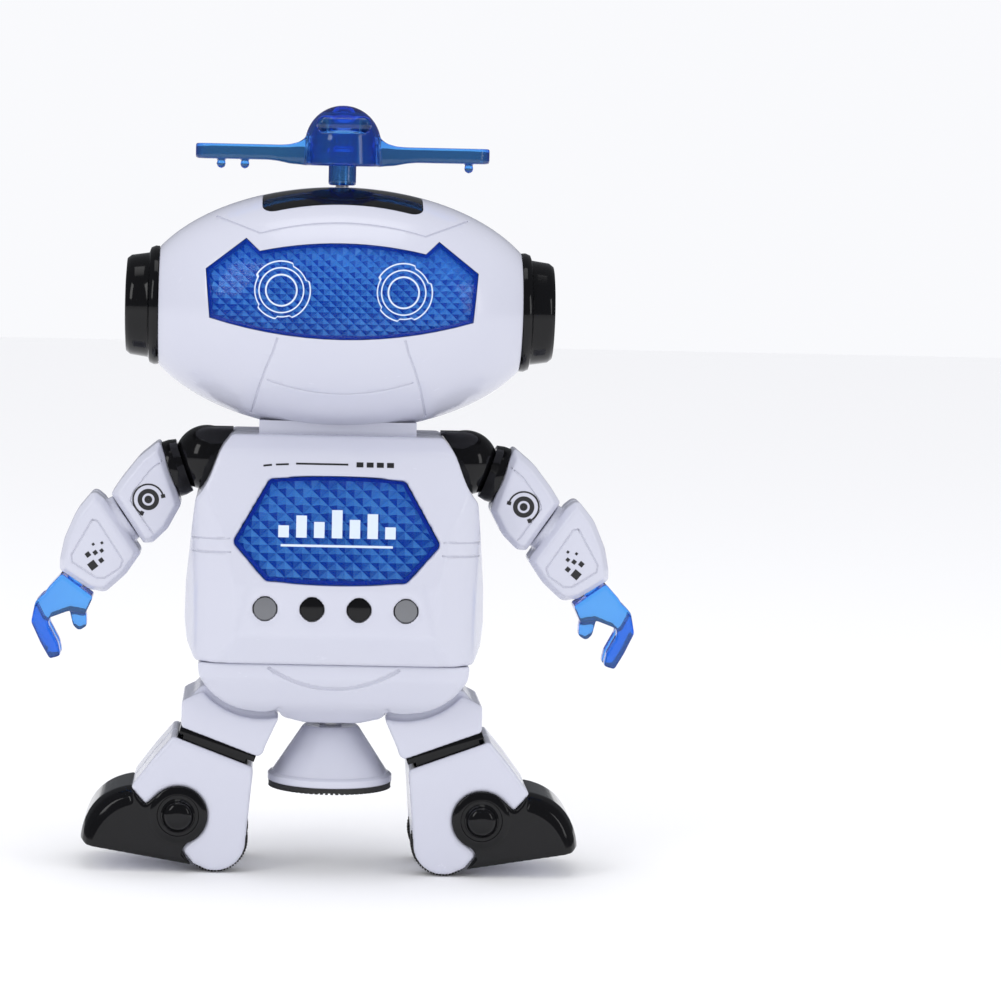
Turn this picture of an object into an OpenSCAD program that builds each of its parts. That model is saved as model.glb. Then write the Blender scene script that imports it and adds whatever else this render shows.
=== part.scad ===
// Walking, spinning toy robot: barrel head with a toy plane on top, slab torso,
// jointed arms with hook hands, boots on heel wheels and a turntable under the pelvis.
// -Y is the front, +Z is up and +X is to the right as seen from the front, which is
// also how "left" and "right" are meant in the names.
// The origin is on the floor, under the middle of the robot.

/* [Shells] */
// Wall of every moulded shell
wall = 2.2; // [1.6:0.1:2.6]
// Gap between a fixed piece and the shell round it
fit_gap = 0.15; // [0.1:0.05:0.25]
// Radial clearance of a shaft in its bore
running_gap = 0.06; // [0.03:0.01:0.1]

/* [Head] */
// Height of the head's own axis, which runs from ear to ear
head_z = 174.5; // [172:0.5:177]
// Radius of the head at its middle
head_r = 37.6; // [37:0.1:38.5]
// Half-width that the head's outline would reach if its ends weren't cut
head_reach = 63.8; // [63:0.1:65]
// Half-width of the head's shell
head_end = 55.8; // [55:0.1:56]

/* [Torso] */
// Height of the torso's top
torso_top = 136.2; // [135.8:0.1:136.6]
// Height of the torso's lower edge
torso_bottom = 67; // [66.6:0.1:67.2]
// Radius of a push button
button_r = 3.4; // [3:0.1:3.6]
// Distance between neighbouring buttons
button_pitch = 14.25; // [14:0.05:14.5]
// Height of the row of buttons
button_z = 84.4; // [83:0.1:86]

/* [Arms] */
// Half-depth of an arm, front to back
arm_half_depth = 10.5; // [9.5:0.5:11]
// How far the arms hang below their drawn line, in degrees
arm_droop = 4; // [0:0.5:6]
// Radius of a shoulder dome
dome_r = 10.1; // [9.8:0.1:10.3]

/* [Legs] */
// Half-depth of a boot, front to back
boot_half_depth = 18.5; // [18:0.1:19]
// Radius of the pelvis corner that a thigh swings round
hip_r = 21.4; // [21.2:0.1:21.6]
// Radius of a heel wheel
wheel_r = 10.2; // [10.2:0.1:10.3]

/* [Turntable] */
// Height of the turntable's tread above the floor when it is up
tread_z = 25; // [24:0.5:26]
// Radius of the turntable's flange
flange_r = 19.4; // [19:0.1:19.6]

/* [Plane] */
// Half of the plane's wing span
wing_reach = 45.6; // [43:0.1:47]
// Radius of the plane's cabin
cabin_r = 11.8; // [11:0.1:12.2]

/* [Hidden] */
$fn = 48;
far = 200;
white = [0.9, 0.91, 0.94];
black = [0.06, 0.06, 0.07];
clear_blue = [0.1, 0.3, 0.9, 0.7];
lens_blue = [0.15, 0.45, 0.9, 0.8];
steel = [0.7, 0.7, 0.72];
board_green = [0.1, 0.4, 0.2];

// Plane: the spindle stands a little behind the head's parting line
spindle_y = 4;
spindle_r = 2;
stem_r = 4.3;
stem_z = 212.6;
cabin_z = 225.5;
wing_z = [220.1, 224.8];
wing_half_chord = 4.4;
wing_root = [[10.9, 228.4], [11.9, 227], [13.6, 225.8], [16.5, 225], [22, 224.6], [26, 220.4],
    [20, 219.8], [16, 219], [11.2, 218.7]];

// Arms: joints in the plane of the arm, measured from the shoulder dome's centre
dome_at = [40.2, 0, 127.5];
shoulder_dir = 15.7;
elbow_at = [26.7, -17.6];
elbow_dir = 31.5;
wrist_at = [42.35, -35.65];
wrist_dir = 54;
arm_shaft_r = 3.2;
wrist_shaft_r = 2.4;

// Legs, drawn on the +X side
hip_at = [22, 72.3];
thigh_half_depth = 17.5;
hip_tab = 2.8;
hip_pin_r = 2.5;
knee_tilt = 20.4;
knee_mid = [35.5, 39];
knee_pin_r = 2;
knee_at = knee_mid + 4.4 * [sin(knee_tilt), -cos(knee_tilt)];
post_y = [11.2, 13.8];
leg_floor = 23.4;
heel_at = [35.4, 10.2];
hub_at = [46.9, 17.9];
hub_r = 9.2;
wheel_y = [9.2, 16];
axle_r = 1.5;

// Turntable
shaft_r = 3.6;
shaft_top = 92;

// Back of the torso
door_x = 27;
door_z = [78, 123.6];
door_y = [28.3, 30.5];
switch_at = [15, 73.5];

sides = ["left", "right"];

// ---- outlines -------------------------------------------------------------

function unit(v) = v / norm(v);

// The corner b between a and c, as an arc of radius r
function corner(a, b, c, r, n = 6) =
    let (u = unit(a - b), w = unit(c - b), half = acos(u * w) / 2)
    r <= 0 || half > 89 ? [b] :
    let (reach = r / tan(half), p = b + reach * u, q = b + reach * w,
         mid = b + unit(u + w) * r / sin(half),
         from = atan2(p.y - mid.y, p.x - mid.x), to = atan2(q.y - mid.y, q.x - mid.x),
         turn = (to - from + 540) % 360 - 180)
    [for (i = [0:n]) mid + r * [cos(from + turn * i / n), sin(from + turn * i / n)]];

// A closed outline whose points are [x, y, radius of the corner]
function rounded(p) = let (n = len(p), xy = [for (q = p) [q.x, q.y]])
    [for (i = [0:n - 1]) each corner(xy[(i + n - 1) % n], xy[i], xy[(i + 1) % n], p[i].z)];

// The same outline on both sides of the middle: p runs down the +x side
function both_sides(p) = concat(p, [for (i = [len(p) - 1:-1:0]) [-p[i].x, p[i].y, p[i].z]]);

// Points on an arc about c
function arc(c, r, from, to, n = 12) =
    [for (i = [0:n]) c + r * [cos(from + (to - from) * i / n), sin(from + (to - from) * i / n)]];

// A cubic curve from p[0] to p[3]
function curve(p, n = 8) = [for (i = [0:n]) let (t = i / n, s = 1 - t)
    s * s * s * p[0] + 3 * s * s * t * p[1] + 3 * s * t * t * p[2] + t * t * t * p[3]];

function span(c, h) = [c - h, c + h];
function with_radius(p, r) = [for (q = p) [q.x, q.y, r]];

// An outline in the front view, from y0 to y1
module slab(y0, y1) translate([0, y1, 0]) rotate([90, 0, 0]) linear_extrude(y1 - y0) children();

// An outline in the side view, right through the robot
module side_slab() translate([-far / 2, 0, 0]) rotate([90, 0, 90]) linear_extrude(far) children();

// A cylinder along Y through [x, z]
module rod_y(at, r, y0, y1) translate([at.x, y1, at.y]) rotate([90, 0, 0]) cylinder(r = r, h = y1 - y0);

// A solid or shell of revolution about the head's axis
module about_head_axis() translate([0, 0, head_z]) rotate([0, 90, 0]) rotate_extrude($fn = 96) children();

module front_half() intersection() {
    children();
    translate([-far, -far, -far]) cube([2 * far, far, 3 * far]);
}
module rear_half() intersection() {
    children();
    translate([-far, 0, -far]) cube([2 * far, far, 3 * far]);
}
module block(x, y, z) translate([x[0], y[0], z[0]]) cube([x[1] - x[0], y[1] - y[0], z[1] - z[0]]);
module on_side(s) if (s == "left") mirror([1, 0, 0]) children(); else children();

// ---- head -----------------------------------------------------------------

function head_radius(x) = head_r * sqrt(1 - pow(x / head_reach, 2));
head_steps = 24;
function head_line(end, inset) = [for (i = [-head_steps:head_steps])
    let (x = end * sin(90 * i / head_steps)) [head_radius(x) - inset, x]];

// The layer of the head between two depths under its surface
module head_layer(outer, inner, end) about_head_axis() polygon(concat(head_line(end, outer),
    [for (i = [2 * head_steps:-1:0]) head_line(end, inner)[i]]));

module head_shell_solid() about_head_axis() {
    ear_hole = 8;
    polygon(concat([[ear_hole, -head_end]], head_line(head_end, 0), [[ear_hole, head_end],
        [ear_hole, head_end - wall]],
        [for (i = [2 * head_steps:-1:0]) head_line(head_end - wall, wall)[i]],
        [[ear_hole, wall - head_end]]));
}

visor_points = both_sides([[25.1, 192.4, 0.6], [29.2, 196.2, 0.8], [41.4, 186.7, 1.2], [40, 171.9, 1.2]]);
module visor_outline(gap) offset(delta = -gap) union() {
    polygon(rounded(visor_points));
    // the top edge bows up and the bottom edge bows down
    polygon(concat(arc([0, 75.2], 120, 78, 102), [[-25, 185], [25, 185]]));
    polygon(concat(arc([0, 309.2], 143, -106.3, -73.7), [[40, 180], [-40, 180]]));
}

window_half = 24.6;
window_front = 19.4;
module window_outline(gap) polygon(rounded([
    [window_half - gap, -gap, 0], [window_half - gap, gap - window_front, 4.5],
    [gap - window_half, gap - window_front, 4.5], [gap - window_half, -gap, 0]]));
module window_column(gap) translate([0, 0, 190]) linear_extrude(30) window_outline(gap);

neck = [[-18.3, 18.3], [-9.5, 9.5], [134.2, 141.5]];
module neck_hole() block([-18.5, 18.5], [-9.7, 9.7], [torso_top - 6, 143]);

module head_front_shell() color(white) difference() {
    front_half() head_shell_solid();
    slab(-60, -8) visor_outline(0);
    window_column(0);
    neck_hole();
}

speaker_at = [0, 172];
module head_rear_shell() color(white) difference() {
    rear_half() head_shell_solid();
    translate([0, spindle_y, 200]) cylinder(r = spindle_r + running_gap, h = 20);
    neck_hole();
    rod_y(speaker_at, 1.3, 30, 40);
    for (a = [0:60:300]) rod_y(speaker_at + 4.5 * [cos(a), sin(a)], 1.3, 30, 40);
    for (a = [0:30:330]) rod_y(speaker_at + 8.6 * [cos(a), sin(a)], 1.3, 28, 40);
}

module visor_lens() color(lens_blue) intersection() {
    head_layer(0.1, wall, 48);
    slab(-60, -8) visor_outline(fit_gap);
}

module visor_reflector() color(steel) intersection() {
    head_layer(5, 6.2, 46);
    slab(-60, -8) visor_outline(1);
}

module top_window() color(black) intersection() {
    head_layer(0.1, wall, 48);
    window_column(fit_gap);
}

module ear_cap() color(black) on_ear() polygon([[0, 50.5], [6, 50.5], [7.8, 52.5], [7.8, 56],
    [18.3, 56], [18.4, 57.2], [17.8, 58.6], [16.2, 59.2], [15.4, 64.6], [14.4, 65.9],
    [10.5, 66.2], [10, 65.6], [0, 65.6]]);
module on_ear() about_head_axis() children();
module ear_cap_left() mirror([1, 0, 0]) ear_cap();
module ear_cap_right() ear_cap();

module neck_block() color(white) block(neck[0], neck[1], neck[2]);

module eye_led_board() color(board_green) {
    block([-26, 26], [-21.6, -20], [172, 188]);
    for (x = [-18.4, 18.4]) {
        rod_y([x, 180.8], 2.5, -25, -21.5);
        translate([x, -25, 180.8]) sphere(r = 2.5);
    }
}

module speaker() color(black) {
    rod_y(speaker_at, 13, 25.5, 28.5);
    rod_y(speaker_at, 8, 18, 25.6);
}

// ---- plane ----------------------------------------------------------------

module plane_body() color(clear_blue) difference() {
    translate([0, spindle_y, 0]) union() {
        cabin();
        wing_plan = rounded([[wing_reach, -wing_half_chord, 4.3], [wing_reach, wing_half_chord, 4.3],
            [-wing_reach, wing_half_chord, 4.3], [-wing_reach, -wing_half_chord, 4.3]]);
        difference() {
            translate([0, 0, wing_z[0]]) linear_extrude(wing_z[1] - wing_z[0]) polygon(wing_plan);
            translate([0, 0, 210]) cylinder(r = cabin_r - 1.5, h = 20);
        }
        // wing roots that flare into the cabin
        for (s = [-1, 1]) slab(-wing_half_chord + 0.3, wing_half_chord - 0.3) polygon([for (p = wing_root)
            [s * p.x, p.y]]);
        for (x = [-37.6, -30.3, 39.1]) translate([x, -2, 218.6]) {
            sphere(r = 1.5);
            cylinder(r = 0.8, h = 3);
        }
        // front pod, tail boom and tail bar
        translate([0, -9.6, 231.4]) rotate([0, 90, 0]) cylinder(r = 2.6, h = 12, center = true);
        for (x = [-6, 6]) translate([x, -9.6, 231.4]) sphere(r = 2.6);
        translate([0, 9, 228]) rotate([-80, 0, 0]) cylinder(r = 3, h = 6);
        translate([0, 16, 222.4]) rotate([0, 90, 0]) cylinder(r = 1.9, h = 8, center = true);
        for (x = [-4, 4]) translate([x, 16, 222.4]) sphere(r = 1.9);
        translate([-1.6, 9, 221]) cube([3.2, 7, 2.8]);
        translate([0, 0, stem_z]) cylinder(r = stem_r, h = cabin_z + cabin_r - 1 - stem_z);
    }
    translate([0, spindle_y, stem_z - 1]) cylinder(r = spindle_r + 0.02, h = 8);
}
module cabin() rotate_extrude($fn = 64) polygon(concat(
    [[10.4, 218.6], [12.3, 218.6]], arc([0, cabin_z], cabin_r, 0, 90, 14),
    arc([0, cabin_z], cabin_r - 1.6, 90, 0, 14)));
module plane_spindle() color(steel) translate([0, spindle_y, 0]) {
    translate([0, 0, 190]) cylinder(r = spindle_r, h = stem_z + 6.5 - 190);
    translate([0, 0, 203]) cylinder(r = 4.2, h = 2.4);
}

// ---- torso ----------------------------------------------------------------

// Half of the front view's outline; the shoulder is an S-shaped cut
torso_side = concat([[32.4, torso_top, 1.2]],
    with_radius(curve([[33.6, 134.6], [37.8, 130.6], [37.2, 123], [43.2, 116.7]]), 0),
    [[44.2, 108, 8], [45.9, 90, 8], [46.1, 79, 5], [45.2, 72, 2.5], [42.4, torso_bottom, 0.8]]);
torso_depth = rounded([[-19, torso_top, 2], [-25, 131.5, 5], [-31.6, 110, 14], [-34.2, 92, 14],
    [-34.5, 76, 1.5], [-30.6, torso_bottom, 0.6], [30, torso_bottom, 0.6], [30.5, 71, 2],
    [30.5, 124, 8], [25, 132.5, 5], [19, torso_top, 2]]);
torso_plan = rounded(both_sides([[28, -36, 6], [42.5, -27, 12], [47, -10, 10],
    [47, 14, 9], [41, 30.6, 10]]));
module torso_block(inset) intersection() {
    slab(-60, 60) offset(delta = -inset) polygon(rounded(both_sides(torso_side)));
    side_slab() offset(delta = -inset) polygon(torso_depth);
    linear_extrude(far) offset(delta = -inset) polygon(torso_plan);
}
module torso_shell() difference() {
    torso_block(0);
    torso_block(wall);
    block([-38, 38], [-24, 24], [torso_bottom - 1, torso_bottom + wall + 1]);
    neck_hole();
}

chest_points = both_sides([[20.6, 123.4, 1.6], [31.6, 104.2, 1.6], [21.3, 92.6, 1.6]]);
module chest_outline(gap) offset(delta = -gap) union() {
    polygon(rounded(chest_points));
    polygon(concat(arc([0, -45.6], 170, 83, 97), [[-20, 110], [20, 110]]));
    polygon(concat(arc([0, 262], 170.4, -97, -83), [[20, 100], [-20, 100]]));
}

function button_x(i) = (i - 1.5) * button_pitch;

module torso_front_shell() color(white) difference() {
    front_half() torso_shell();
    slab(-60, -20) chest_outline(0);
    for (i = [0:3]) rod_y([button_x(i), button_z], button_r + 0.2, -60, -20);
}

module torso_rear_shell() color(white) difference() {
    rear_half() torso_shell();
    block([-door_x, door_x], [20, 40], door_z);
    block(span(switch_at.x, 7), [20, 40], span(switch_at.y, 1.9));
}

module chest_lens() color(lens_blue) intersection() {
    difference() {
        torso_block(0);
        torso_block(wall);
    }
    slab(-60, -20) chest_outline(fit_gap);
}

module chest_reflector() color(steel) intersection() {
    difference() {
        torso_block(wall + 1);
        torso_block(wall + 2.2);
    }
    slab(-60, -20) chest_outline(1.5);
}

module button(i) color(black) {
    rod_y([button_x(i), button_z], button_r, -34.6, -25);
    rod_y([button_x(i), button_z], button_r + 1.2, -31, -30);
}
module button_outer_left() button(0);
module button_inner_left() button(1);
module button_inner_right() button(2);
module button_outer_right() button(3);

module main_board() color(board_green) {
    block([-32, 32], [-21.6, -20], [76, 122]);
    for (i = [0:3]) block(span(button_x(i), 3), [-23.4, -21.6], span(button_z, 3));
    block([-9, 9], [-20, -17.6], [98, 110]);
    rod_y([0, 108], 2.5, -25, -21.6);
}

cell_r = 7.1;
cell_z = [85.2, 100, 114.8];
module battery_tray() color(black) difference() {
    block([-28, 28], [9, 27], [76.8, 123.4]);
    for (z = cell_z) translate([-26.2, 19, z]) rotate([0, 90, 0]) cylinder(r = cell_r + 0.4, h = 52.4);
    block([-26.2, 26.2], [19, 30], [77.9, 122.2]);
}
module batteries() color(steel) for (i = [0:2]) translate([(i % 2 == 0 ? -25.2 : 25.2), 19, cell_z[i]])
    rotate([0, i % 2 == 0 ? 90 : -90, 0]) {
        cylinder(r = cell_r, h = 49);
        cylinder(r = 2.6, h = 50.4);
    }

door_axis = [door_y[0] + 1.1, door_z[0] + 1.4];
module battery_door() color(white) {
    block([-door_x + 0.3, door_x - 0.3], door_y, [door_axis.y, door_z[1] - 0.3]);
    translate([-door_x + 0.3, door_axis.x, door_axis.y]) rotate([0, 90, 0])
        cylinder(r = 1.1, h = 2 * door_x - 0.6);
    block([-8, 8], [30.4, 31.2], [118.5, 120]);
    block([-8, 8], [30.4, 31.2], [115.5, 117]);
}

module power_switch() color(black) {
    block(span(switch_at.x, 3.5), [25, 31.8], span(switch_at.y, 1.6));
    block(span(switch_at.x, 6), [26.6, 28], span(switch_at.y, 2.8));
}

module shoulder_dome() color(black) difference() {
    translate(dome_at) union() {
        sphere(r = dome_r);
        rotate([0, -90, 0]) cylinder(r = dome_r - 0.2, h = 8);
    }
    translate([fit_gap, 0, 0]) slab(-20, 20) polygon(rounded(both_sides(torso_side)));
    in_arm_frame() along_shoulder(9.3) translate([-20, -20, 0]) cube([40, 40, 10]);
    in_arm_frame() along_shoulder(3) cylinder(r = arm_shaft_r + running_gap, h = 20);
}
module shoulder_dome_left() mirror([1, 0, 0]) shoulder_dome();
module shoulder_dome_right() shoulder_dome();

// ---- pelvis and gearbox ---------------------------------------------------

notch_x = [15.9, 17.3];
pelvis_side = concat([[41.6, torso_bottom - 0.1, 0]],
    with_radius(arc(hip_at, hip_r, -27, -101.5, 14), 0), [[notch_x[1], 53, 0]]);
pelvis_depth = rounded([[-29.4, torso_bottom - 0.1, 0], [-28.6, 62, 6], [-24, 53, 12], [-15, 46.9, 4],
    [15, 46.9, 4], [22, 52, 12], [27.6, 60, 6], [28.4, torso_bottom - 0.1, 0]]);
module pelvis_block(inset) intersection() {
    union() {
        slab(-60, 60) offset(delta = -inset) polygon(rounded(both_sides(pelvis_side)));
        slab(-60, 60) offset(delta = -inset) polygon(rounded(both_sides(
            [[notch_x[0], 60, 0], [notch_x[0], 49.2, 1.4], [8, 46.9, 6]])));
    }
    side_slab() offset(delta = -inset) polygon(pelvis_depth);
}
hip_swing = 24;
module hip_slot() intersection() {
    rod_y(hip_at, hip_r + 4, -hip_tab - 0.5, hip_tab + 0.5);
    slab(-5, 5) polygon(concat([hip_at], arc(hip_at, 60, -90, 14 + hip_swing - 70)));
}
module pelvis_shell() color(white) difference() {
    pelvis_block(0);
    difference() {
        pelvis_block(wall);
        block([-60, 60], [-60, 60], [0, 46.9 + wall]);
    }
    block([-38, 38], [-24, 24], [torso_bottom - 5, torso_bottom + 5]);
    translate([0, 0, 30]) cylinder(r = shaft_r + 0.5, h = 40);
    for (s = sides) on_side(s) hip_slot();
}

ear_y = [3.4, 6.4];
module gearbox() color([0.5, 0.5, 0.55]) difference() {
    union() {
        block([-12.5, 12.5], [-11, 11], [52, 76]);
        for (s = sides) on_side(s) {
            for (y = [ear_y, -[ear_y[1], ear_y[0]]]) {
                block([12, hip_at.x + 4], y, [65, 76]);
            }
            rod_y(hip_at, hip_pin_r, -ear_y[1], ear_y[1]);
            translate([12, 0, 86]) rotate([0, 90, 0]) cylinder(r = 7.8, h = 20);
            block([11, 14], [-6, 6], [76, 82]);
        }
    }
    translate([0, 0, 40]) cylinder(r = shaft_r + running_gap, h = 60);
}

// ---- turntable ------------------------------------------------------------

module lift_shaft() color(steel) {
    translate([0, 0, 31]) cylinder(r = shaft_r, h = shaft_top - 31);
    translate([0, 0, tread_z + 5.6]) cylinder(r = 5.5, h = 1.8);
}
cone_top = tread_z + 19.5;
module turntable_cone() color(white) {
    flange_z = tread_z + 2.1;
    rotate_extrude($fn = 96) polygon([[17.4, flange_z], [flange_r - 0.3, flange_z],
        [flange_r, flange_z + 0.3], [flange_r, flange_z + 2.1], [flange_r - 0.5, flange_z + 2.6],
        [18.1, flange_z + 2.9], [8.9, cone_top - 0.6], [8.2, cone_top],
        [shaft_r + running_gap, cone_top], [shaft_r + running_gap, tread_z + 8],
        [5.8, tread_z + 8], [5.8, cone_top - wall], [7.6, cone_top - wall], [16.2, flange_z + 2]]);
}
module turntable_hub() color(black) difference() {
    translate([0, 0, tread_z + 0.6]) cylinder(r = 12.9, h = 3.6);
    for (s = [-1, 1]) intersection() {
        translate([0, 0, tread_z]) cylinder(r = 11.4, h = 2.8);
        translate([-20, s > 0 ? 4.6 : -24.6, 0]) cube([40, 20, 60]);
    }
    for (x = [-8, 8]) translate([x, 0, tread_z]) {
        cylinder(r = 2.7, h = 2);
        cylinder(r = 1.3, h = 6);
    }
}
module turntable_tread() color(black) rotate_extrude($fn = 96) polygon([[13, tread_z],
    [flange_r - 0.5, tread_z], [flange_r - 0.2, tread_z + 0.4], [flange_r - 0.2, tread_z + 2],
    [13, tread_z + 2]]);
module turntable_screws() color(steel) for (x = [-8, 8]) translate([x, 0, tread_z + 0.7]) difference() {
    union() {
        cylinder(r = 2.5, h = 1.2);
        cylinder(r = 1.2, h = 3.4);
    }
    translate([-1.6, -0.3, -1]) cube([3.2, 0.6, 1.6]);
    translate([-0.3, -1.6, -1]) cube([0.6, 3.2, 1.6]);
}

// ---- arms, drawn on the +X side -------------------------------------------

// The arm's own frame: its origin is the shoulder dome's centre
module in_arm_frame() translate(dome_at) rotate([0, arm_droop, 0]) children();
// Z along the shoulder's axis, starting at a distance from the dome's centre
module along_shoulder(d) rotate([0, 90 + shoulder_dir, 0]) translate([0, 0, d]) children();
module along_elbow(d) translate([elbow_at.x, 0, elbow_at.y]) rotate([0, 90 + elbow_dir, 0])
    translate([0, 0, d]) children();
module along_wrist(d) translate([wrist_at.x, 0, wrist_at.y]) rotate([0, 90 + wrist_dir, 0])
    translate([0, 0, d]) children();

upper_arm_outline = rounded([[14.3, 6.5, 0.8], [8.6, -13.6, 1.5], [13.2, -21, 6], [18, -25.1, 1.5],
    [20.9, -25.1, 0.8], [30.1, -9.3, 0.8], [26.8, -4.9, 2], [20.9, 1.7, 12]]);
forearm_outline = rounded([[35.4, -7.9, 1.6], [32.4, -10.6, 0.6], [23.1, -25.8, 1], [21.8, -28.1, 1],
    [26.9, -34.6, 7], [33.5, -39.8, 2.5], [38.4, -38.6, 1.2], [47.3, -32, 1.2], [47, -28.6, 1.5],
    [45.3, -22.3, 8], [41.1, -14, 12]]);

// A moulded casing: the full outline in the middle, a smaller one front and back
module casing(points, half_depth, edge, inset) hull() {
    slab(edge - half_depth + inset, half_depth - edge - inset) offset(delta = -inset) polygon(points);
    slab(inset - half_depth, half_depth - inset) offset(delta = -inset - edge * 0.6) polygon(points);
}
module upper_arm_solid() in_arm_frame() difference() {
    casing(upper_arm_outline, arm_half_depth, 3, 0);
    casing(upper_arm_outline, arm_half_depth, 3, wall);
    along_shoulder(10) cylinder(r = 4.35, h = 5);
    along_elbow(-6) cylinder(r = arm_shaft_r + running_gap, h = 6);
}
module forearm_solid() in_arm_frame() {
    difference() {
        casing(forearm_outline, arm_half_depth, 3, 0);
        casing(forearm_outline, arm_half_depth, 3, wall);
        along_wrist(-4) cylinder(r = wrist_shaft_r + running_gap, h = 6);
    }
    // elbow swivel: disc in the gap, shaft and retaining head inside the upper arm
    along_elbow(-0.9) cylinder(r = 7.8, h = 2.6);
    along_elbow(-6) cylinder(r = arm_shaft_r, h = 6);
    along_elbow(-6) cylinder(r = 5, h = 1.4);
}
module shoulder_collar() color(black) in_arm_frame() {
    along_shoulder(9.6) cylinder(r = 9, h = 2.3);
    // lip that follows the dome
    difference() {
        along_shoulder(7.4) cylinder(r1 = 8.5, r2 = 9, h = 2.3);
        sphere(r = dome_r + 0.35);
    }
    along_shoulder(3.4) cylinder(r = arm_shaft_r, h = 7);
    along_shoulder(11) cylinder(r = 4.2, h = 5);
    along_shoulder(15.2) cylinder(r = 5.5, h = 1.5);
}
module hand() color(clear_blue) in_arm_frame() {
    along_wrist(-4.6) cylinder(r = wrist_shaft_r, h = 7);
    along_wrist(-5) cylinder(r = 3.6, h = 1.4);
    palm = rounded([[46.8, -33.4, 0.6], [51.2, -37.6, 2], [54.6, -42.6, 1.5], [52.6, -47.4, 0.8],
        [45.2, -45.2, 0.6], [40.2, -46.4, 0.6], [37.4, -41.2, 0.8]]);
    finger = rounded([[51.2, -37.6, 2], [55.5, -41.9, 2], [57.1, -48, 1.5], [54.6, -54.5, 3],
        [52, -59.8, 0.8], [48.4, -59, 1], [49, -55, 1], [51.8, -48.8, 1], [50, -42, 1]]);
    thumb = rounded([[45.4, -44, 0.5], [44.4, -50, 0.8], [42.7, -52, 1.2], [40.1, -50.6, 1], [39.9, -44, 0.5]]);
    slab(-6.6, 6.6) polygon(palm);
    slab(-6.6, -1.6) polygon(finger);
    slab(1.6, 6.6) polygon(finger);
    slab(-3, 3) polygon(thumb);
}

// ---- legs, drawn on the +X side -------------------------------------------

// The knee's own frame: x along the split between thigh and boot, z up the leg
module in_knee_frame() translate([knee_mid.x, 0, knee_mid.y]) rotate([0, -knee_tilt, 0]) children();
function knee_point(p) = knee_mid + p.x * [cos(knee_tilt), sin(knee_tilt)]
    + p.y * [-sin(knee_tilt), cos(knee_tilt)];

function thigh_points(gap, top) = rounded(concat([[46.4, 53.3, 0.8], [43.2, 54.9, 0.6]], top,
    with_radius(arc(hip_at, hip_r + gap, -41.5, -104), 0), [[20.3, 40, 3], [21.6, 36, 1.8]],
    [[knee_point([12.4, 2]).x, knee_point([12.4, 2]).y, 0.8]]));
thigh_step = 2.6;
module thigh() color(white) {
    difference() {
        union() {
            slab(-thigh_half_depth, thigh_half_depth) polygon(thigh_points(thigh_step, []));
            slab(thigh_step - thigh_half_depth, thigh_half_depth - thigh_step)
                polygon(thigh_points(0.4, [[40.4, 57.9, 0.4]]));
        }
        in_knee_frame() block([-9, 9], [-13, 13], [0, 6.2]);
    }
    slab(-hip_tab, hip_tab) difference() {
        union() {
            circle_at(hip_at, 5.4);
            translate(hip_at) rotate(-70) translate([0, -4.4]) square([hip_r + 2.5, 8.8]);
        }
        circle_at(hip_at, hip_pin_r + running_gap);
    }
}
module knee_core() color(black) {
    in_knee_frame() {
        block([-12.4, 12.4], [-16.6, 16.6], [0, 1.9]);
        block([-8.9, 8.9], [-12.9, 12.9], [0, 6]);
        block([-6.5, 6.5], [-10.5, 10.5], [-7.6, 0.5]);
        // skirt that fills the gap over the boot's opening
        difference() {
            block([-10, 10.6], [-15.5, 15.5], [-2.6, 0.2]);
            block([-8.6, 9.2], [-14.1, 14.1], [-3, 0]);
        }
    }
    rod_y(knee_at, knee_pin_r, -post_y[1], post_y[1]);
}

heel_side = arc(heel_at, 9.5, 178, 285, 14);
boot_points = concat([[knee_point([-12.9, -1.5]).x, knee_point([-12.9, -1.5]).y, 1.2]],
    with_radius(heel_side, 0), [[42, 2.9, 0.3], [50, 13, 0.5], [57, 21.2, 0.6], [61.6, 26.4, 0.8],
    [54.9, 35.4, 8], [knee_point([13.8, -1.5]).x, knee_point([13.8, -1.5]).y, 1]]);
sole_points = [[38, 2.2], [72.6, 7.8], [72.2, 9], [50, 9.4], [40, 8]];
module boot_solid() {
    difference() {
        union() {
            slab(-boot_half_depth, boot_half_depth) polygon(rounded(boot_points));
            slab(-16.4, 16.4) polygon(sole_points);
        }
        // hollow leg, open at the top
        slab(-16, 16) polygon([knee_point([-10.6, 2]), knee_point([-10.6, -9.5]), [29.5, leg_floor],
            [47.5, leg_floor], [55.4, 25.6], [51.2, 34], knee_point([11.4, 2])]);
        // wells for the two heel wheels
        for (s = [-1, 1]) rod_y(heel_at, wheel_r + 0.7, min(s * wheel_y[0], s * wheel_y[1]) - 0.25,
            max(s * wheel_y[0], s * wheel_y[1]) + 0.25);
        for (s = [-1, 1]) block([20, heel_at.x], [min(s * 9, s * 16.2), max(s * 9, s * 16.2)], [-1, heel_at.y]);
        rod_y(heel_at, axle_r + running_gap, -17.6, 17.6);
        // seats for the toe cap's side plates
        for (s = [-1, 1]) rod_y(hub_at, hub_r + 0.2, min(s * 17.1, s * 20), max(s * 17.1, s * 20));
        for (s = [-1, 1]) slab(min(s * 17.1, s * 20), max(s * 17.1, s * 20))
            polygon([[57.1, 21.3], [52.8, 25.4], [40, 12], [45.3, 6.8], [42, 2.7], [60, 10]]);
    }
    // posts that carry the knee pin, standing on the leg's floor
    for (s = [-1, 1]) slab(min(s * post_y[0], s * post_y[1]), max(s * post_y[0], s * post_y[1])) difference() {
        union() {
            circle_at(knee_at, 4);
            translate([knee_at.x - 4, leg_floor - 0.3]) square([8, knee_at.y - leg_floor + 0.3]);
        }
        circle_at(knee_at, knee_pin_r + running_gap);
    }
}
module boot_front() color(white) front_half() boot_solid();
module boot_rear() color(white) rear_half() boot_solid();

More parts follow.
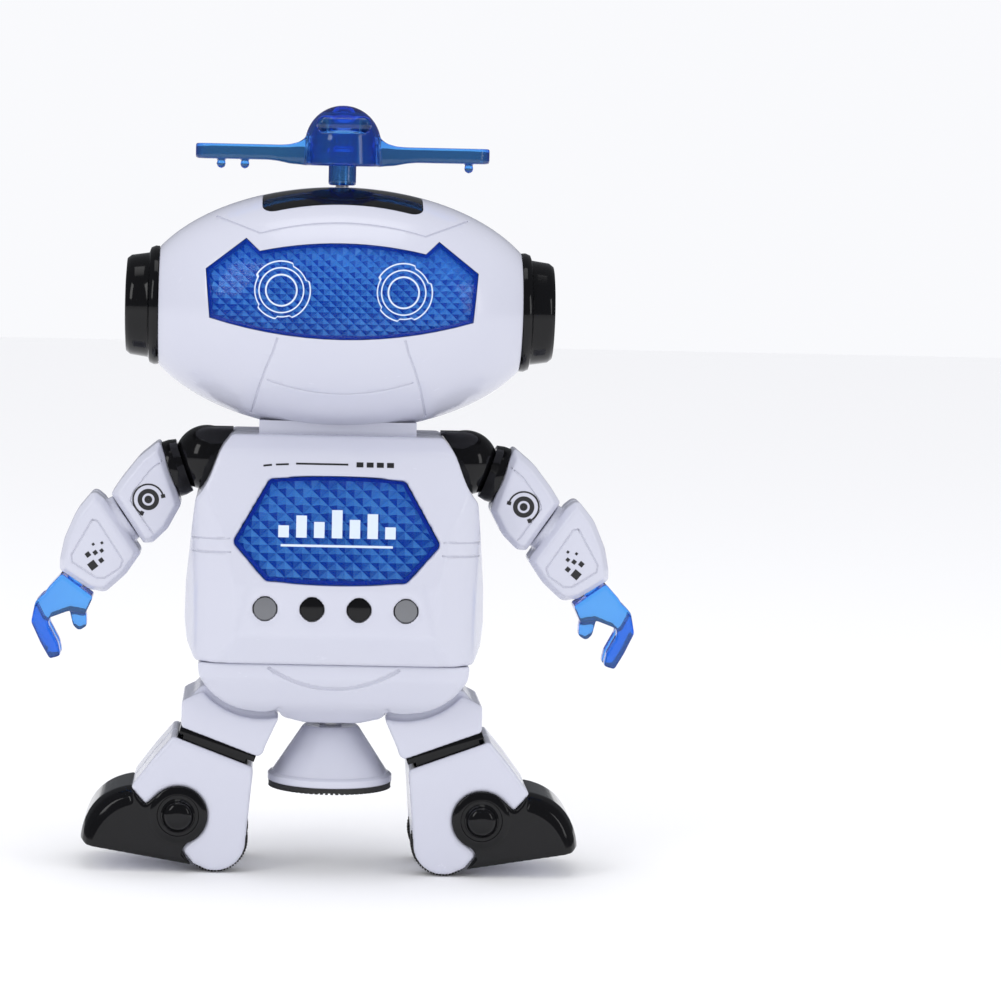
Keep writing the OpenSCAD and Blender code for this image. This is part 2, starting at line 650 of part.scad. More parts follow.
toe_top = curve([[61.5, 26.3], [69, 25.2], [76, 21], [77.2, 9.6]], 10);
toe_points = concat(with_radius(toe_top, 0),
    [[75.2, 7.9, 0.6], [42.5, 2.5, 0], [50.6, 12.9, 0.5], [57.3, 21.2, 0.4]]);
// The toe's outline with its top brought down and its tip brought back
module toe_profile(inset) intersection() {
    polygon(rounded(toe_points));
    translate(-inset * [0.66, 0.75]) polygon(concat(toe_top, [[toe_top[10].x, -20], [30, -20], [42.5, 2.5]]));
}
toe_layers = [[boot_half_depth, 5.5], [boot_half_depth - 0.9, 3], [boot_half_depth - 2.9, 1.1],
    [boot_half_depth - 5.9, 0]];
module toe_plate() union() {
    circle_at(hub_at, hub_r);
    polygon([[61, 26], [57.2, 21.1], [52.7, 25.1], [41, 14], [45.5, 6.9], [42.7, 2.8], [60, 6]]);
}
module circle_at(p, r) translate(p) circle(r = r);
module toe_cap() color(black) {
    difference() {
        hull() for (k = toe_layers) slab(-k[0], k[0]) toe_profile(k[1]);
        slab(-14, 14) polygon([[40, 0], [76, 6], [74, 10], [72.4, 16], [67.5, 21], [61.5, 23.2], [58.5, 20.6],
            [47, 8.7]]);
        slab(-16.5, 16.5) polygon([[40, 0], [75, 6], [72.6, 9.4], [70.5, 14.5], [65, 18.6], [57, 19.4],
            [47, 8.7]]);
    }
    for (s = [-1, 1]) {
        slab(min(s * 17.3, s * 18.9), max(s * 17.3, s * 18.9)) intersection() {
            toe_plate();
            polygon([[36, 2.55], [42.4, 2.75], [62, 6], [64, 30], [36, 30]]);
        }
        rod_y(hub_at, 5.3, min(s * 18.8, s * 19.4), max(s * 18.8, s * 19.4));
        intersection() {
            translate([hub_at.x, s * 16.6, hub_at.y]) sphere(r = 5.2);
            slab(min(s * 18.8, s * 25), max(s * 18.8, s * 25)) circle_at(hub_at, 4.6);
        }
    }
}

module heel_wheels() color(black) for (s = [-1, 1]) difference() {
    translate([heel_at.x, s > 0 ? wheel_y[1] : -wheel_y[0], heel_at.y]) rotate([90, 0, 0])
        rotate_extrude($fn = 72) polygon([[0, 0], [wheel_r - 0.9, 0], [wheel_r, 0.7],
            [wheel_r, wheel_y[1] - wheel_y[0] - 0.7], [wheel_r - 0.9, wheel_y[1] - wheel_y[0]],
            [0, wheel_y[1] - wheel_y[0]]]);
    rod_y(heel_at, axle_r, -20, 20);
}
module wheel_axle() color(steel) rod_y(heel_at, axle_r - 0.01, -17.4, 17.4);

// ---- nodes ----------------------------------------------------------------

head_front_shell();
head_rear_shell();
visor_lens();
visor_reflector();
top_window();
ear_cap_left();
ear_cap_right();
neck_block();
eye_led_board();
speaker();
torso_front_shell();
torso_rear_shell();
pelvis_shell();
chest_lens();
chest_reflector();
battery_tray();
batteries();
main_board();
gearbox();
shoulder_dome_left();
shoulder_dome_right();
plane_body();
plane_spindle();
lift_shaft();
turntable_cone();
turntable_hub();
turntable_tread();
turntable_screws();
for (s = sides) {
    on_side(s) shoulder_collar();
    on_side(s) color(white) front_half() upper_arm_solid();
    on_side(s) color(white) rear_half() upper_arm_solid();
    on_side(s) color(white) front_half() forearm_solid();
    on_side(s) color(white) rear_half() forearm_solid();
    on_side(s) hand();
    on_side(s) thigh();
    on_side(s) knee_core();
    on_side(s) boot_front();
    on_side(s) boot_rear();
    on_side(s) toe_cap();
    on_side(s) heel_wheels();
    on_side(s) wheel_axle();
}
button_outer_left();
button_inner_left();
button_inner_right();
button_outer_right();
power_switch();
battery_door();
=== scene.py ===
import math

import bpy
from mathutils import Matrix, Vector


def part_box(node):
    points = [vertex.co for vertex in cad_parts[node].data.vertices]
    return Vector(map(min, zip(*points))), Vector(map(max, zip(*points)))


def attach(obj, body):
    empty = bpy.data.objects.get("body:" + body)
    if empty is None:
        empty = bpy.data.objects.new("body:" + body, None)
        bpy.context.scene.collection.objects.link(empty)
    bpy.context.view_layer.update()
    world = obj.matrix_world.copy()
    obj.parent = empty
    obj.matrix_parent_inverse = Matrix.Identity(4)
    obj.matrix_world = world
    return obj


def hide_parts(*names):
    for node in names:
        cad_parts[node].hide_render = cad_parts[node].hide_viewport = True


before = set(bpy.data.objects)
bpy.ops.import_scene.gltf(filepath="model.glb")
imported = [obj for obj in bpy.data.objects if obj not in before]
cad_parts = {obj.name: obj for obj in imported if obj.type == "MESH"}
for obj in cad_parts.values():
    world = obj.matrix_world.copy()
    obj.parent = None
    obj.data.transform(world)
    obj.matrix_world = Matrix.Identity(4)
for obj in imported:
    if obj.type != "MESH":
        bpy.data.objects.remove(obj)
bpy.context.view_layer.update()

MM = 0.001
SIDES = {"left": -1, "right": 1}

HEAD_AXIS_Z = 174.5
HEAD_RADIUS = 37.6
HEAD_REACH = 63.8
HEAD_END = 55.8
WALL = 2.2
EYE_AT = (18.4, 180.8)

SHOULDER_AT = (40.2, 127.5)
ARM_DROOP = 4.0

# Where a cutter through the front half starts and ends, and where a flat mark starts before it is laid.
FRONT_HALF = (-60, -8)
BEFORE_FRONT = -70
INK_PROUD = 0.06

VISOR_RIGHT = [(25.1, 192.4), (29.2, 196.2), (41.4, 186.7), (40.0, 171.9)]
CHEST_RIGHT = [(20.6, 123.4), (31.6, 104.2), (21.3, 92.6)]


# ---- working with pieces ----------------------------------------------------

def deselect_all():
    if bpy.context.mode != "OBJECT":
        bpy.ops.object.mode_set(mode="OBJECT")
    bpy.ops.object.select_all(action="DESELECT")


def pick(piece):
    deselect_all()
    piece.select_set(True)
    bpy.context.view_layer.objects.active = piece


def open_mesh(piece):
    pick(piece)
    bpy.ops.object.mode_set(mode="EDIT")
    bpy.ops.mesh.select_mode(type="VERT")
    bpy.ops.mesh.select_all(action="SELECT")


def close_mesh():
    bpy.ops.object.mode_set(mode="OBJECT")


def discard(*tools):
    for tool in tools:
        bpy.data.objects.remove(tool, do_unlink=True)


def modify(piece, kind, **values):
    pick(piece)
    modifier = piece.modifiers.new(kind.lower(), kind)
    for key, value in values.items():
        setattr(modifier, key, value)
    bpy.ops.object.modifier_apply(modifier=modifier.name)


def combine(piece, tool, operation):
    modify(piece, "BOOLEAN", operation=operation, object=tool, solver="MANIFOLD")
    discard(tool)


def carve(piece, tool):
    combine(piece, tool, "DIFFERENCE")


def weld(piece, reach=0.001, outward=False):
    open_mesh(piece)
    bpy.ops.mesh.remove_doubles(threshold=reach * MM)
    if outward:
        bpy.ops.mesh.normals_make_consistent(inside=False)
    close_mesh()


def copy_of(node, name):
    """A merged copy of a CAD node, to be shaped further."""
    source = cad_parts[node]
    piece = bpy.data.objects.new(name, source.data.copy())
    bpy.context.collection.objects.link(piece)
    piece.data.materials.clear()
    weld(piece)
    pick(piece)
    bpy.ops.mesh.customdata_custom_splitnormals_clear()
    return piece


def soften(piece, voxel, passes):
    """Rounds every edge of a moulding, as its tool would leave it."""
    modify(piece, "REMESH", mode="VOXEL", voxel_size=voxel * MM)
    modify(piece, "SMOOTH", factor=0.5, iterations=passes)
    pick(piece)
    bpy.ops.object.shade_smooth()


def ease_edges(piece, width, angle=30, segments=2):
    modify(piece, "BEVEL", width=width * MM, segments=segments, limit_method="ANGLE",
           angle_limit=math.radians(angle), use_clamp_overlap=True)
    smooth_by_angle(piece, angle)


def smooth_by_angle(piece, angle=30):
    pick(piece)
    bpy.ops.object.shade_smooth_by_angle(angle=math.radians(angle))


def settle(piece):
    """Puts the object's own place into its mesh."""
    pick(piece)
    bpy.ops.object.transform_apply(location=True, rotation=True, scale=True)


def join(name, parts):
    deselect_all()
    for part in parts:
        part.select_set(True)
    bpy.context.view_layer.objects.active = parts[0]
    bpy.ops.object.join()
    parts[0].name = name
    return parts[0]


def finish_piece(piece, body, material, replaced=()):
    piece.data.materials.clear()
    piece.data.materials.append(material)
    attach(piece, body)
    if replaced:
        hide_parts(*replaced)


# ---- outlines and tools ------------------------------------------------------

def bow(start, end, height, count=14):
    """Points between start and end on an arc that rises by height in the middle."""
    points = []
    for i in range(1, count):
        t = i / count
        x = start[0] + (end[0] - start[0]) * t
        z = start[1] + (end[1] - start[1]) * t + height * (1 - (2 * t - 1) ** 2)
        points.append((x, z))
    return points


def bowed_outline(right, bottom_rise, top_rise):
    """The whole outline from its right side's corners, with a bowed bottom and top."""
    left = [(-x, z) for x, z in reversed(right)]
    bottom = bow(right[-1], left[0], bottom_rise)
    top = bow(left[-1], right[0], top_rise)
    return right + bottom + left + top


VISOR_OUTLINE = bowed_outline(VISOR_RIGHT, -5.7, 2.8)
CHEST_OUTLINE = bowed_outline(CHEST_RIGHT, -1.0, 0.9)


def prism(name, outline, y_front, y_back):
    """An outline in the front view, from y_front back to y_back."""
    deselect_all()
    bpy.ops.mesh.primitive_circle_add(vertices=len(outline), radius=MM, fill_type="NGON")
    piece = bpy.context.active_object
    piece.name = name
    for vertex, (x, z) in zip(piece.data.vertices, outline):
        vertex.co = (x * MM, y_front * MM, z * MM)
    open_mesh(piece)
    bpy.ops.mesh.extrude_region_move(
        TRANSFORM_OT_translate={"value": (0, (y_back - y_front) * MM, 0)})
    close_mesh()
    weld(piece, outward=True)
    return piece


def inset_outline(outline, gap):
    """Moves each side of a closed outline inwards by gap."""
    area = sum(a[0] * b[1] - b[0] * a[1] for a, b in zip(outline, outline[1:] + outline[:1]))
    turn = 1 if area > 0 else -1
    count = len(outline)
    moved = []
    for i in range(count):
        before = Vector(outline[i - 1])
        here = Vector(outline[i])
        after = Vector(outline[(i + 1) % count])
        into = (here - before).normalized()
        out = (after - here).normalized()
        side_in = Vector((-into.y, into.x)) * turn
        side_out = Vector((-out.y, out.x)) * turn
        mid = (side_in + side_out).normalized()
        reach = gap / max(0.35, mid.dot(side_in))
        moved.append(tuple(here + mid * reach))
    return moved


def tube(points, radius):
    """A round bar through points in metres, used as a groove's cutter."""
    path = bpy.data.curves.new("groove", "CURVE")
    path.dimensions = "3D"
    path.bevel_depth = radius * MM
    path.bevel_resolution = 1
    path.use_fill_caps = True
    spline = path.splines.new("POLY")
    spline.points.add(len(points) - 1)
    for point, place in zip(spline.points, points):
        point.co = (*place, 1)
    piece = bpy.data.objects.new("groove", path)
    bpy.context.collection.objects.link(piece)
    pick(piece)
    bpy.ops.object.convert(target="MESH")
    piece = bpy.context.active_object
    weld(piece, 0.002, outward=True)
    return piece


def along(points, step=1.5):
    """The same broken line with a point every step millimetres."""
    fine = []
    for a, b in zip(points, points[1:]):
        count = max(1, round(math.dist(a, b) / step))
        fine += [tuple(a[k] + (b[k] - a[k]) * i / count for k in range(len(a))) for i in range(count)]
    return fine + [tuple(points[-1])]


def land(node, start, towards):
    """Where a line from start, in millimetres, first meets a CAD node."""
    hit, place, normal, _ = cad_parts[node].ray_cast(Vector(start) * MM, Vector(towards))
    return place if hit else None


def front_line(node, points, side=-1):
    """A line in the front view laid on a CAD node's front, or on its back."""
    landed = [land(node, (x, side * 80, z), (0, -side, 0)) for x, z in along(points)]
    return [place for place in landed if place]


def groove(piece, lines, radius=0.35):
    cutters = [tube(line, radius) for line in lines if len(line) > 1]
    for cutter in cutters:
        carve(piece, cutter)


def turned(name, profile, sides=96, closed=True):
    """A ring of the first (radius, height), extruded and resized through the others, about Z."""
    deselect_all()
    radius, height = profile[0]
    bpy.ops.mesh.primitive_circle_add(vertices=sides, radius=radius * MM, location=(0, 0, 0))
    piece = bpy.context.active_object
    piece.name = name
    open_mesh(piece)
    bpy.ops.transform.translate(value=(0, 0, height * MM))
    rest = profile[1:] + ([profile[0]] if closed else [])
    for next_radius, next_height in rest:
        bpy.ops.mesh.extrude_region_move(
            TRANSFORM_OT_translate={"value": (0, 0, (next_height - height) * MM)})
        scale = next_radius / radius
        bpy.ops.transform.resize(value=(scale, scale, 1), center_override=(0, 0, next_height * MM))
        radius, height = next_radius, next_height
    if not closed:
        bpy.ops.mesh.edge_face_add()
        bpy.ops.mesh.select_all(action="DESELECT")
        bpy.ops.mesh.select_non_manifold()
        bpy.ops.mesh.edge_face_add()
    close_mesh()
    weld(piece, outward=True)
    return piece


def lay_along_x(piece, centre):
    piece.matrix_world = Matrix.Translation(Vector(centre) * MM) @ Matrix.Rotation(math.pi / 2, 4, "Y")
    settle(piece)


def lay_along_y(piece, centre):
    piece.matrix_world = Matrix.Translation(Vector(centre) * MM) @ Matrix.Rotation(math.pi / 2, 4, "X")
    settle(piece)


def choose_faces(piece, test):
    """Selects, in edit mode, the faces whose centre and normal pass the test."""
    pick(piece)
    bpy.ops.object.mode_set(mode="EDIT")
    bpy.ops.mesh.select_mode(type="FACE")
    bpy.ops.mesh.select_all(action="DESELECT")
    bpy.ops.object.mode_set(mode="OBJECT")
    for face in piece.data.polygons:
        face.select = test(face.center / MM, face.normal)
    bpy.ops.object.mode_set(mode="EDIT")


def arm_place(u, w, side):
    """A point of the arm's own drawing, in millimetres of the shared frame."""
    droop = math.radians(ARM_DROOP)
    x = SHOULDER_AT[0] + u * math.cos(droop) + w * math.sin(droop)
    z = SHOULDER_AT[1] - u * math.sin(droop) + w * math.cos(droop)
    return (SIDES[side] * x, z)


# ---- finishes ----------------------------------------------------------------

def add_socket(group, name, kind, into, default=None):
    socket = group.interface.new_socket(name=name, in_out="INPUT" if into else "OUTPUT",
                                        socket_type=kind)
    if default is not None:
        socket.default_value = default


def noise_node(nodes, scale, detail):
    node = nodes.new("ShaderNodeTexNoise")
    node.inputs["Scale"].default_value = scale
    node.inputs["Detail"].default_value = detail
    return node


def colour_mix(nodes):
    node = nodes.new("ShaderNodeMix")
    node.data_type = "RGBA"
    return node


def math_node(nodes, operation, second=None):
    node = nodes.new("ShaderNodeMath")
    node.operation = operation
    if second is not None:
        node.inputs[1].default_value = second
    return node


def build_moulding_group():
    """Uneven gloss and a faint ripple, as cooling leaves on a moulding."""
    group = bpy.data.node_groups.new("moulding_skin", "ShaderNodeTree")
    add_socket(group, "Place", "NodeSocketVector", True)
    add_socket(group, "Roughness", "NodeSocketFloat", True, 0.2)
    add_socket(group, "Uneven", "NodeSocketFloat", True, 0.08)
    add_socket(group, "Roughness Out", "NodeSocketFloat", False)
    add_socket(group, "Cloud", "NodeSocketFloat", False)
    add_socket(group, "Height", "NodeSocketFloat", False)
    nodes, links = group.nodes, group.links
    enter = nodes.new("NodeGroupInput")
    leave = nodes.new("NodeGroupOutput")
    cloud = noise_node(nodes, 38, 3)
    smear = noise_node(nodes, 210, 4)
    ripple = noise_node(nodes, 900, 2)
    for texture in (cloud, smear, ripple):
        links.new(enter.outputs["Place"], texture.inputs["Vector"])
    spread = math_node(nodes, "SUBTRACT", second=0.5)
    links.new(smear.outputs["Fac"], spread.inputs[0])
    scaled = math_node(nodes, "MULTIPLY_ADD")
    links.new(spread.outputs[0], scaled.inputs[0])
    links.new(enter.outputs["Uneven"], scaled.inputs[1])
    links.new(enter.outputs["Roughness"], scaled.inputs[2])
    links.new(scaled.outputs[0], leave.inputs["Roughness Out"])
    links.new(cloud.outputs["Fac"], leave.inputs["Cloud"])
    links.new(ripple.outputs["Fac"], leave.inputs["Height"])
    return group


def build_handling_group():
    """Fine scuffs and a little dust on what faces up."""
    group = bpy.data.node_groups.new("handling_marks", "ShaderNodeTree")
    add_socket(group, "Place", "NodeSocketVector", True)
    add_socket(group, "Facing", "NodeSocketVector", True)
    add_socket(group, "Scuffs", "NodeSocketFloat", False)
    add_socket(group, "Dust", "NodeSocketFloat", False)
    nodes, links = group.nodes, group.links
    enter = nodes.new("NodeGroupInput")
    leave = nodes.new("NodeGroupOutput")
    stretch = nodes.new("ShaderNodeMapping")
    stretch.inputs["Rotation"].default_value = (0.4, 0.9, 0.3)
    stretch.inputs["Scale"].default_value = (1, 9, 1)
    scratch = noise_node(nodes, 160, 6)
    links.new(enter.outputs["Place"], stretch.inputs["Vector"])
    links.new(stretch.outputs["Vector"], scratch.inputs["Vector"])
    narrow = nodes.new("ShaderNodeMapRange")
    narrow.inputs["From Min"].default_value = 0.66
    narrow.inputs["From Max"].default_value = 0.78
    links.new(scratch.outputs["Fac"], narrow.inputs["Value"])
    split = nodes.new("ShaderNodeSeparateXYZ")
    links.new(enter.outputs["Facing"], split.inputs["Vector"])
    upward = nodes.new("ShaderNodeMapRange")
    upward.inputs["From Min"].default_value = 0.55
    upward.inputs["From Max"].default_value = 1.0
    links.new(split.outputs["Z"], upward.inputs["Value"])
    specks = noise_node(nodes, 700, 5)
    links.new(enter.outputs["Place"], specks.inputs["Vector"])
    speckle = nodes.new("ShaderNodeMapRange")
    speckle.inputs["From Min"].default_value = 0.5
    speckle.inputs["From Max"].default_value = 0.72
    links.new(specks.outputs["Fac"], speckle.inputs["Value"])
    dust = math_node(nodes, "MULTIPLY")
    links.new(upward.outputs["Result"], dust.inputs[0])
    links.new(speckle.outputs["Result"], dust.inputs[1])
    links.new(narrow.outputs["Result"], leave.inputs["Scuffs"])
    links.new(dust.outputs[0], leave.inputs["Dust"])
    return group


MOULDING = build_moulding_group()
HANDLING = build_handling_group()


DUST_COLOUR = (0.62, 0.6, 0.57, 1)


def blank_material(name):
    material = bpy.data.materials.new(name)
    material.use_nodes = True
    nodes, links = material.node_tree.nodes, material.node_tree.links
    nodes.clear()
    output = nodes.new("ShaderNodeOutputMaterial")
    shader = nodes.new("ShaderNodeBsdfPrincipled")
    links.new(shader.outputs["BSDF"], output.inputs["Surface"])
    return material, nodes, links, shader


def plastic(name, colour, shade, roughness, uneven=0.08, coat=0.0, ripple=0.02, dust=0.05,
            mirror=0.5):
    """A moulded plastic: colour drifts to shade, with uneven gloss, scuffs and dust."""
    material, nodes, links, shader = blank_material(name)
    place = nodes.new("ShaderNodeTexCoord")
    skin = nodes.new("ShaderNodeGroup")
    skin.node_tree = MOULDING
    skin.inputs["Roughness"].default_value = roughness
    skin.inputs["Uneven"].default_value = uneven
    links.new(place.outputs["Object"], skin.inputs["Place"])
    marks = nodes.new("ShaderNodeGroup")
    marks.node_tree = HANDLING
    links.new(place.outputs["Object"], marks.inputs["Place"])
    links.new(place.outputs["Normal"], marks.inputs["Facing"])
    drift = colour_mix(nodes)
    drift.inputs["A"].default_value = (*colour, 1)
    drift.inputs["B"].default_value = (*shade, 1)
    links.new(skin.outputs["Cloud"], drift.inputs["Factor"])
    settle_dust = math_node(nodes, "MULTIPLY", second=dust)
    links.new(marks.outputs["Dust"], settle_dust.inputs[0])
    dusty = colour_mix(nodes)
    dusty.inputs["B"].default_value = DUST_COLOUR
    links.new(settle_dust.outputs[0], dusty.inputs["Factor"])
    links.new(drift.outputs["Result"], dusty.inputs["A"])
    links.new(dusty.outputs["Result"], shader.inputs["Base Color"])
    worn = math_node(nodes, "MULTIPLY_ADD", second=0.12)
    links.new(marks.outputs["Scuffs"], worn.inputs[0])
    links.new(skin.outputs["Roughness Out"], worn.inputs[2])
    links.new(worn.outputs[0], shader.inputs["Roughness"])
    bump = nodes.new("ShaderNodeBump")
    bump.inputs["Strength"].default_value = ripple
    bump.inputs["Distance"].default_value = 0.1 * MM
    links.new(skin.outputs["Height"], bump.inputs["Height"])
    links.new(bump.outputs["Normal"], shader.inputs["Normal"])
    shader.inputs["Coat Weight"].default_value = coat
    shader.inputs["Coat Roughness"].default_value = 0.06
    shader.inputs["Specular IOR Level"].default_value = mirror
    return material


def tinted(nodes, links, place, colour, deep):
    """Two tones of a tint, drifting into one another through the piece."""
    skin = nodes.new("ShaderNodeGroup")
    skin.node_tree = MOULDING
    skin.inputs["Uneven"].default_value = 0.05
    links.new(place.outputs["Object"], skin.inputs["Place"])
    drift = colour_mix(nodes)
    drift.inputs["A"].default_value = (*colour, 1)
    drift.inputs["B"].default_value = (*deep, 1)
    links.new(skin.outputs["Cloud"], drift.inputs["Factor"])
    return skin, drift


def clear_plastic(name, colour, deep, clearness):
    """A clear tinted plastic that light passes through."""
    material, nodes, links, shader = blank_material(name)
    place = nodes.new("ShaderNodeTexCoord")
    skin, drift = tinted(nodes, links, place, colour, deep)
    skin.inputs["Roughness"].default_value = 0.07
    edge = nodes.new("ShaderNodeLayerWeight")
    edge.inputs["Blend"].default_value = 0.45
    cloudy = math_node(nodes, "MULTIPLY_ADD", second=0.45)
    links.new(skin.outputs["Cloud"], cloudy.inputs[0])
    links.new(edge.outputs["Facing"], cloudy.inputs[2])
    held = nodes.new("ShaderNodeClamp")
    links.new(cloudy.outputs[0], held.inputs["Value"])
    links.new(held.outputs["Result"], drift.inputs["Factor"])
    links.new(drift.outputs["Result"], shader.inputs["Base Color"])
    links.new(skin.outputs["Roughness Out"], shader.inputs["Roughness"])
    shader.inputs["Transmission Weight"].default_value = clearness
    shader.inputs["IOR"].default_value = 1.49
    return material


def lens_plastic(name, colour, deep, facing_alpha, edge_alpha):
    """A thin tinted window: more opaque where it is seen edge on."""
    material, nodes, links, shader = blank_material(name)
    place = nodes.new("ShaderNodeTexCoord")
    skin, drift = tinted(nodes, links, place, colour, deep)
    skin.inputs["Roughness"].default_value = 0.06
    links.new(drift.outputs["Result"], shader.inputs["Base Color"])
    links.new(skin.outputs["Roughness Out"], shader.inputs["Roughness"])
    edge = nodes.new("ShaderNodeLayerWeight")
    edge.inputs["Blend"].default_value = 0.35
    thick = nodes.new("ShaderNodeMapRange")
    thick.inputs["To Min"].default_value = facing_alpha
    thick.inputs["To Max"].default_value = edge_alpha
    links.new(edge.outputs["Facing"], thick.inputs["Value"])
    links.new(thick.outputs["Result"], shader.inputs["Alpha"])
    shader.inputs["IOR"].default_value = 1.5
    return material


def foil(name, bright, dark, cell):
    """Blue foil pressed into diamonds, with painted light: facets that face up and to the right are
    painted bright and the others painted dark, and the tone also wanders at random.
    """
    material, nodes, links, shader = blank_material(name)
    place = nodes.new("ShaderNodeTexCoord")
    patch = noise_node(nodes, cell, 1)
    links.new(place.outputs["Object"], patch.inputs["Vector"])
    # Painted light: each facet's normal, dotted with a fixed way up and to the right, lightens the facets
    # turned that way and darkens the rest.
    painted_light_dot = nodes.new("ShaderNodeVectorMath")
    painted_light_dot.operation = "DOT_PRODUCT"
    painted_light_dot.inputs[1].default_value = (0.55, 0.1, 0.85)
    links.new(place.outputs["Normal"], painted_light_dot.inputs[0])
    painted_light = math_node(nodes, "MULTIPLY_ADD", second=0.95)
    painted_light.inputs[2].default_value = 0.02
    links.new(painted_light_dot.outputs["Value"], painted_light.inputs[0])
    # The painted light and a random patch of tone together set the mix from the dark to the bright colour.
    painted_light_and_tone = math_node(nodes, "MULTIPLY_ADD", second=0.9)
    links.new(patch.outputs["Fac"], painted_light_and_tone.inputs[0])
    links.new(painted_light.outputs[0], painted_light_and_tone.inputs[2])
    held = nodes.new("ShaderNodeClamp")
    links.new(painted_light_and_tone.outputs[0], held.inputs["Value"])
    tone = colour_mix(nodes)
    tone.inputs["A"].default_value = (*dark, 1)
    tone.inputs["B"].default_value = (*bright, 1)
    links.new(held.outputs["Result"], tone.inputs["Factor"])
    links.new(tone.outputs["Result"], shader.inputs["Base Color"])
    shader.inputs["Metallic"].default_value = 0.25
    shader.inputs["Roughness"].default_value = 0.25
    return material


def metal(name, colour, roughness):
    material, nodes, links, shader = blank_material(name)
    place = nodes.new("ShaderNodeTexCoord")
    stretch = nodes.new("ShaderNodeMapping")
    stretch.inputs["Scale"].default_value = (1, 1, 14)
    brushed = noise_node(nodes, 260, 4)
    links.new(place.outputs["Object"], stretch.inputs["Vector"])
    links.new(stretch.outputs["Vector"], brushed.inputs["Vector"])
    gloss = nodes.new("ShaderNodeMapRange")
    gloss.inputs["To Min"].default_value = roughness - 0.08
    gloss.inputs["To Max"].default_value = roughness + 0.12
    links.new(brushed.outputs["Fac"], gloss.inputs["Value"])
    links.new(gloss.outputs["Result"], shader.inputs["Roughness"])
    tone = colour_mix(nodes)
    tone.inputs["A"].default_value = (*[c * 0.8 for c in colour], 1)
    tone.inputs["B"].default_value = (*colour, 1)
    links.new(brushed.outputs["Fac"], tone.inputs["Factor"])
    links.new(tone.outputs["Result"], shader.inputs["Base Color"])
    shader.inputs["Metallic"].default_value = 1.0
    return material


def circuit_board_finish(name):
    """Green solder mask in two tones, with darker tracks."""
    material, nodes, links, shader = blank_material(name)
    place = nodes.new("ShaderNodeTexCoord")
    tracks = nodes.new("ShaderNodeTexBrick")
    tracks.inputs["Scale"].default_value = 260
    tracks.inputs["Color1"].default_value = (0.02, 0.16, 0.06, 1)
    tracks.inputs["Color2"].default_value = (0.03, 0.22, 0.08, 1)
    tracks.inputs["Mortar"].default_value = (0.01, 0.09, 0.04, 1)
    turn = nodes.new("ShaderNodeMapping")
    turn.inputs["Rotation"].default_value = (math.pi / 2, 0, 0)
    links.new(place.outputs["Object"], turn.inputs["Vector"])
    links.new(turn.outputs["Vector"], tracks.inputs["Vector"])
    links.new(tracks.outputs["Color"], shader.inputs["Base Color"])
    shader.inputs["Roughness"].default_value = 0.35
    return material


WHITE = plastic("white_moulding", (0.63, 0.64, 0.73), (0.6, 0.61, 0.71), 0.22, 0.06, coat=0.2)
BLACK = plastic("black_gloss_moulding", (0.003, 0.003, 0.0035), (0.005, 0.005, 0.006), 0.1, 0.05,
                dust=0.004, mirror=0.3)
SATIN_BLACK = plastic("black_satin_moulding", (0.012, 0.012, 0.013), (0.02, 0.02, 0.021), 0.38, 0.12,
                      dust=0.04)
BUTTON_GREY = plastic("button_grey", (0.16, 0.165, 0.18), (0.2, 0.205, 0.22), 0.4, 0.1)
INK_WHITE = plastic("white_print", (0.72, 0.8, 0.92), (0.66, 0.76, 0.9), 0.4, 0.05, dust=0.0)
INK_BLACK = plastic("black_print", (0.012, 0.012, 0.014), (0.02, 0.02, 0.022), 0.45, 0.05, dust=0.0)
RUBBER = plastic("tread_rubber", (0.014, 0.014, 0.014), (0.025, 0.024, 0.023), 0.62, 0.2, ripple=0.3,
                 dust=0.12)
GEAR_GREY = plastic("gear_grey", (0.35, 0.35, 0.37), (0.3, 0.3, 0.32), 0.45, 0.1)
CELL_WRAP = plastic("cell_wrap", (0.05, 0.16, 0.11), (0.04, 0.12, 0.09), 0.25, 0.1)
SMOKED = plastic("smoked_window", (0.004, 0.004, 0.005), (0.007, 0.007, 0.008), 0.06, 0.03, dust=0.01)
CLEAR_BLUE = clear_plastic("clear_blue", (0.12, 0.5, 1.0), (0.012, 0.05, 0.75), 0.92)
LENS_BLUE = lens_plastic("lens_blue", (0.01, 0.10, 0.75), (0.008, 0.08, 0.65), 0.13, 0.6)
RIM_BLUE = lens_plastic("lens_rim", (0.003, 0.012, 0.3), (0.002, 0.01, 0.25), 0.95, 1.0)
# Both foils paint light and shade on their facets by the way each facet faces.
FINE_FOIL = foil("fine_foil", (0.15, 0.55, 1.0), (0.002, 0.045, 0.32), 150)
BROAD_FOIL = foil("broad_foil", (0.17, 0.58, 1.0), (0.002, 0.04, 0.28), 110)
STEEL = metal("bright_steel", (0.6, 0.6, 0.62), 0.28)
BOARD = circuit_board_finish("circuit_board")


# ---- head ---------------------------------------------------------------------

def head_radius(x):
    return HEAD_RADIUS * math.sqrt(1 - (x / HEAD_REACH) ** 2)


def head_stations(end, count=28):
    return [end * math.sin(math.pi / 2 * i / count) for i in range(-count, count + 1)]


def head_solid(name, inset, end):
    profile = [(head_radius(x) - inset, x) for x in head_stations(end)]
    piece = turned(name, profile, sides=160, closed=False)
    lay_along_x(piece, (0, 0, HEAD_AXIS_Z))
    return piece


EAR_HOLE = 8.0
HALF_SEAM = 0.12
NECK_SLOT = ((-18.5, -9.7, 130), (18.5, 9.7, 143))
NECK_COLLAR = ((-24.2, -13, 135.6), (24.2, 13, 140.2))


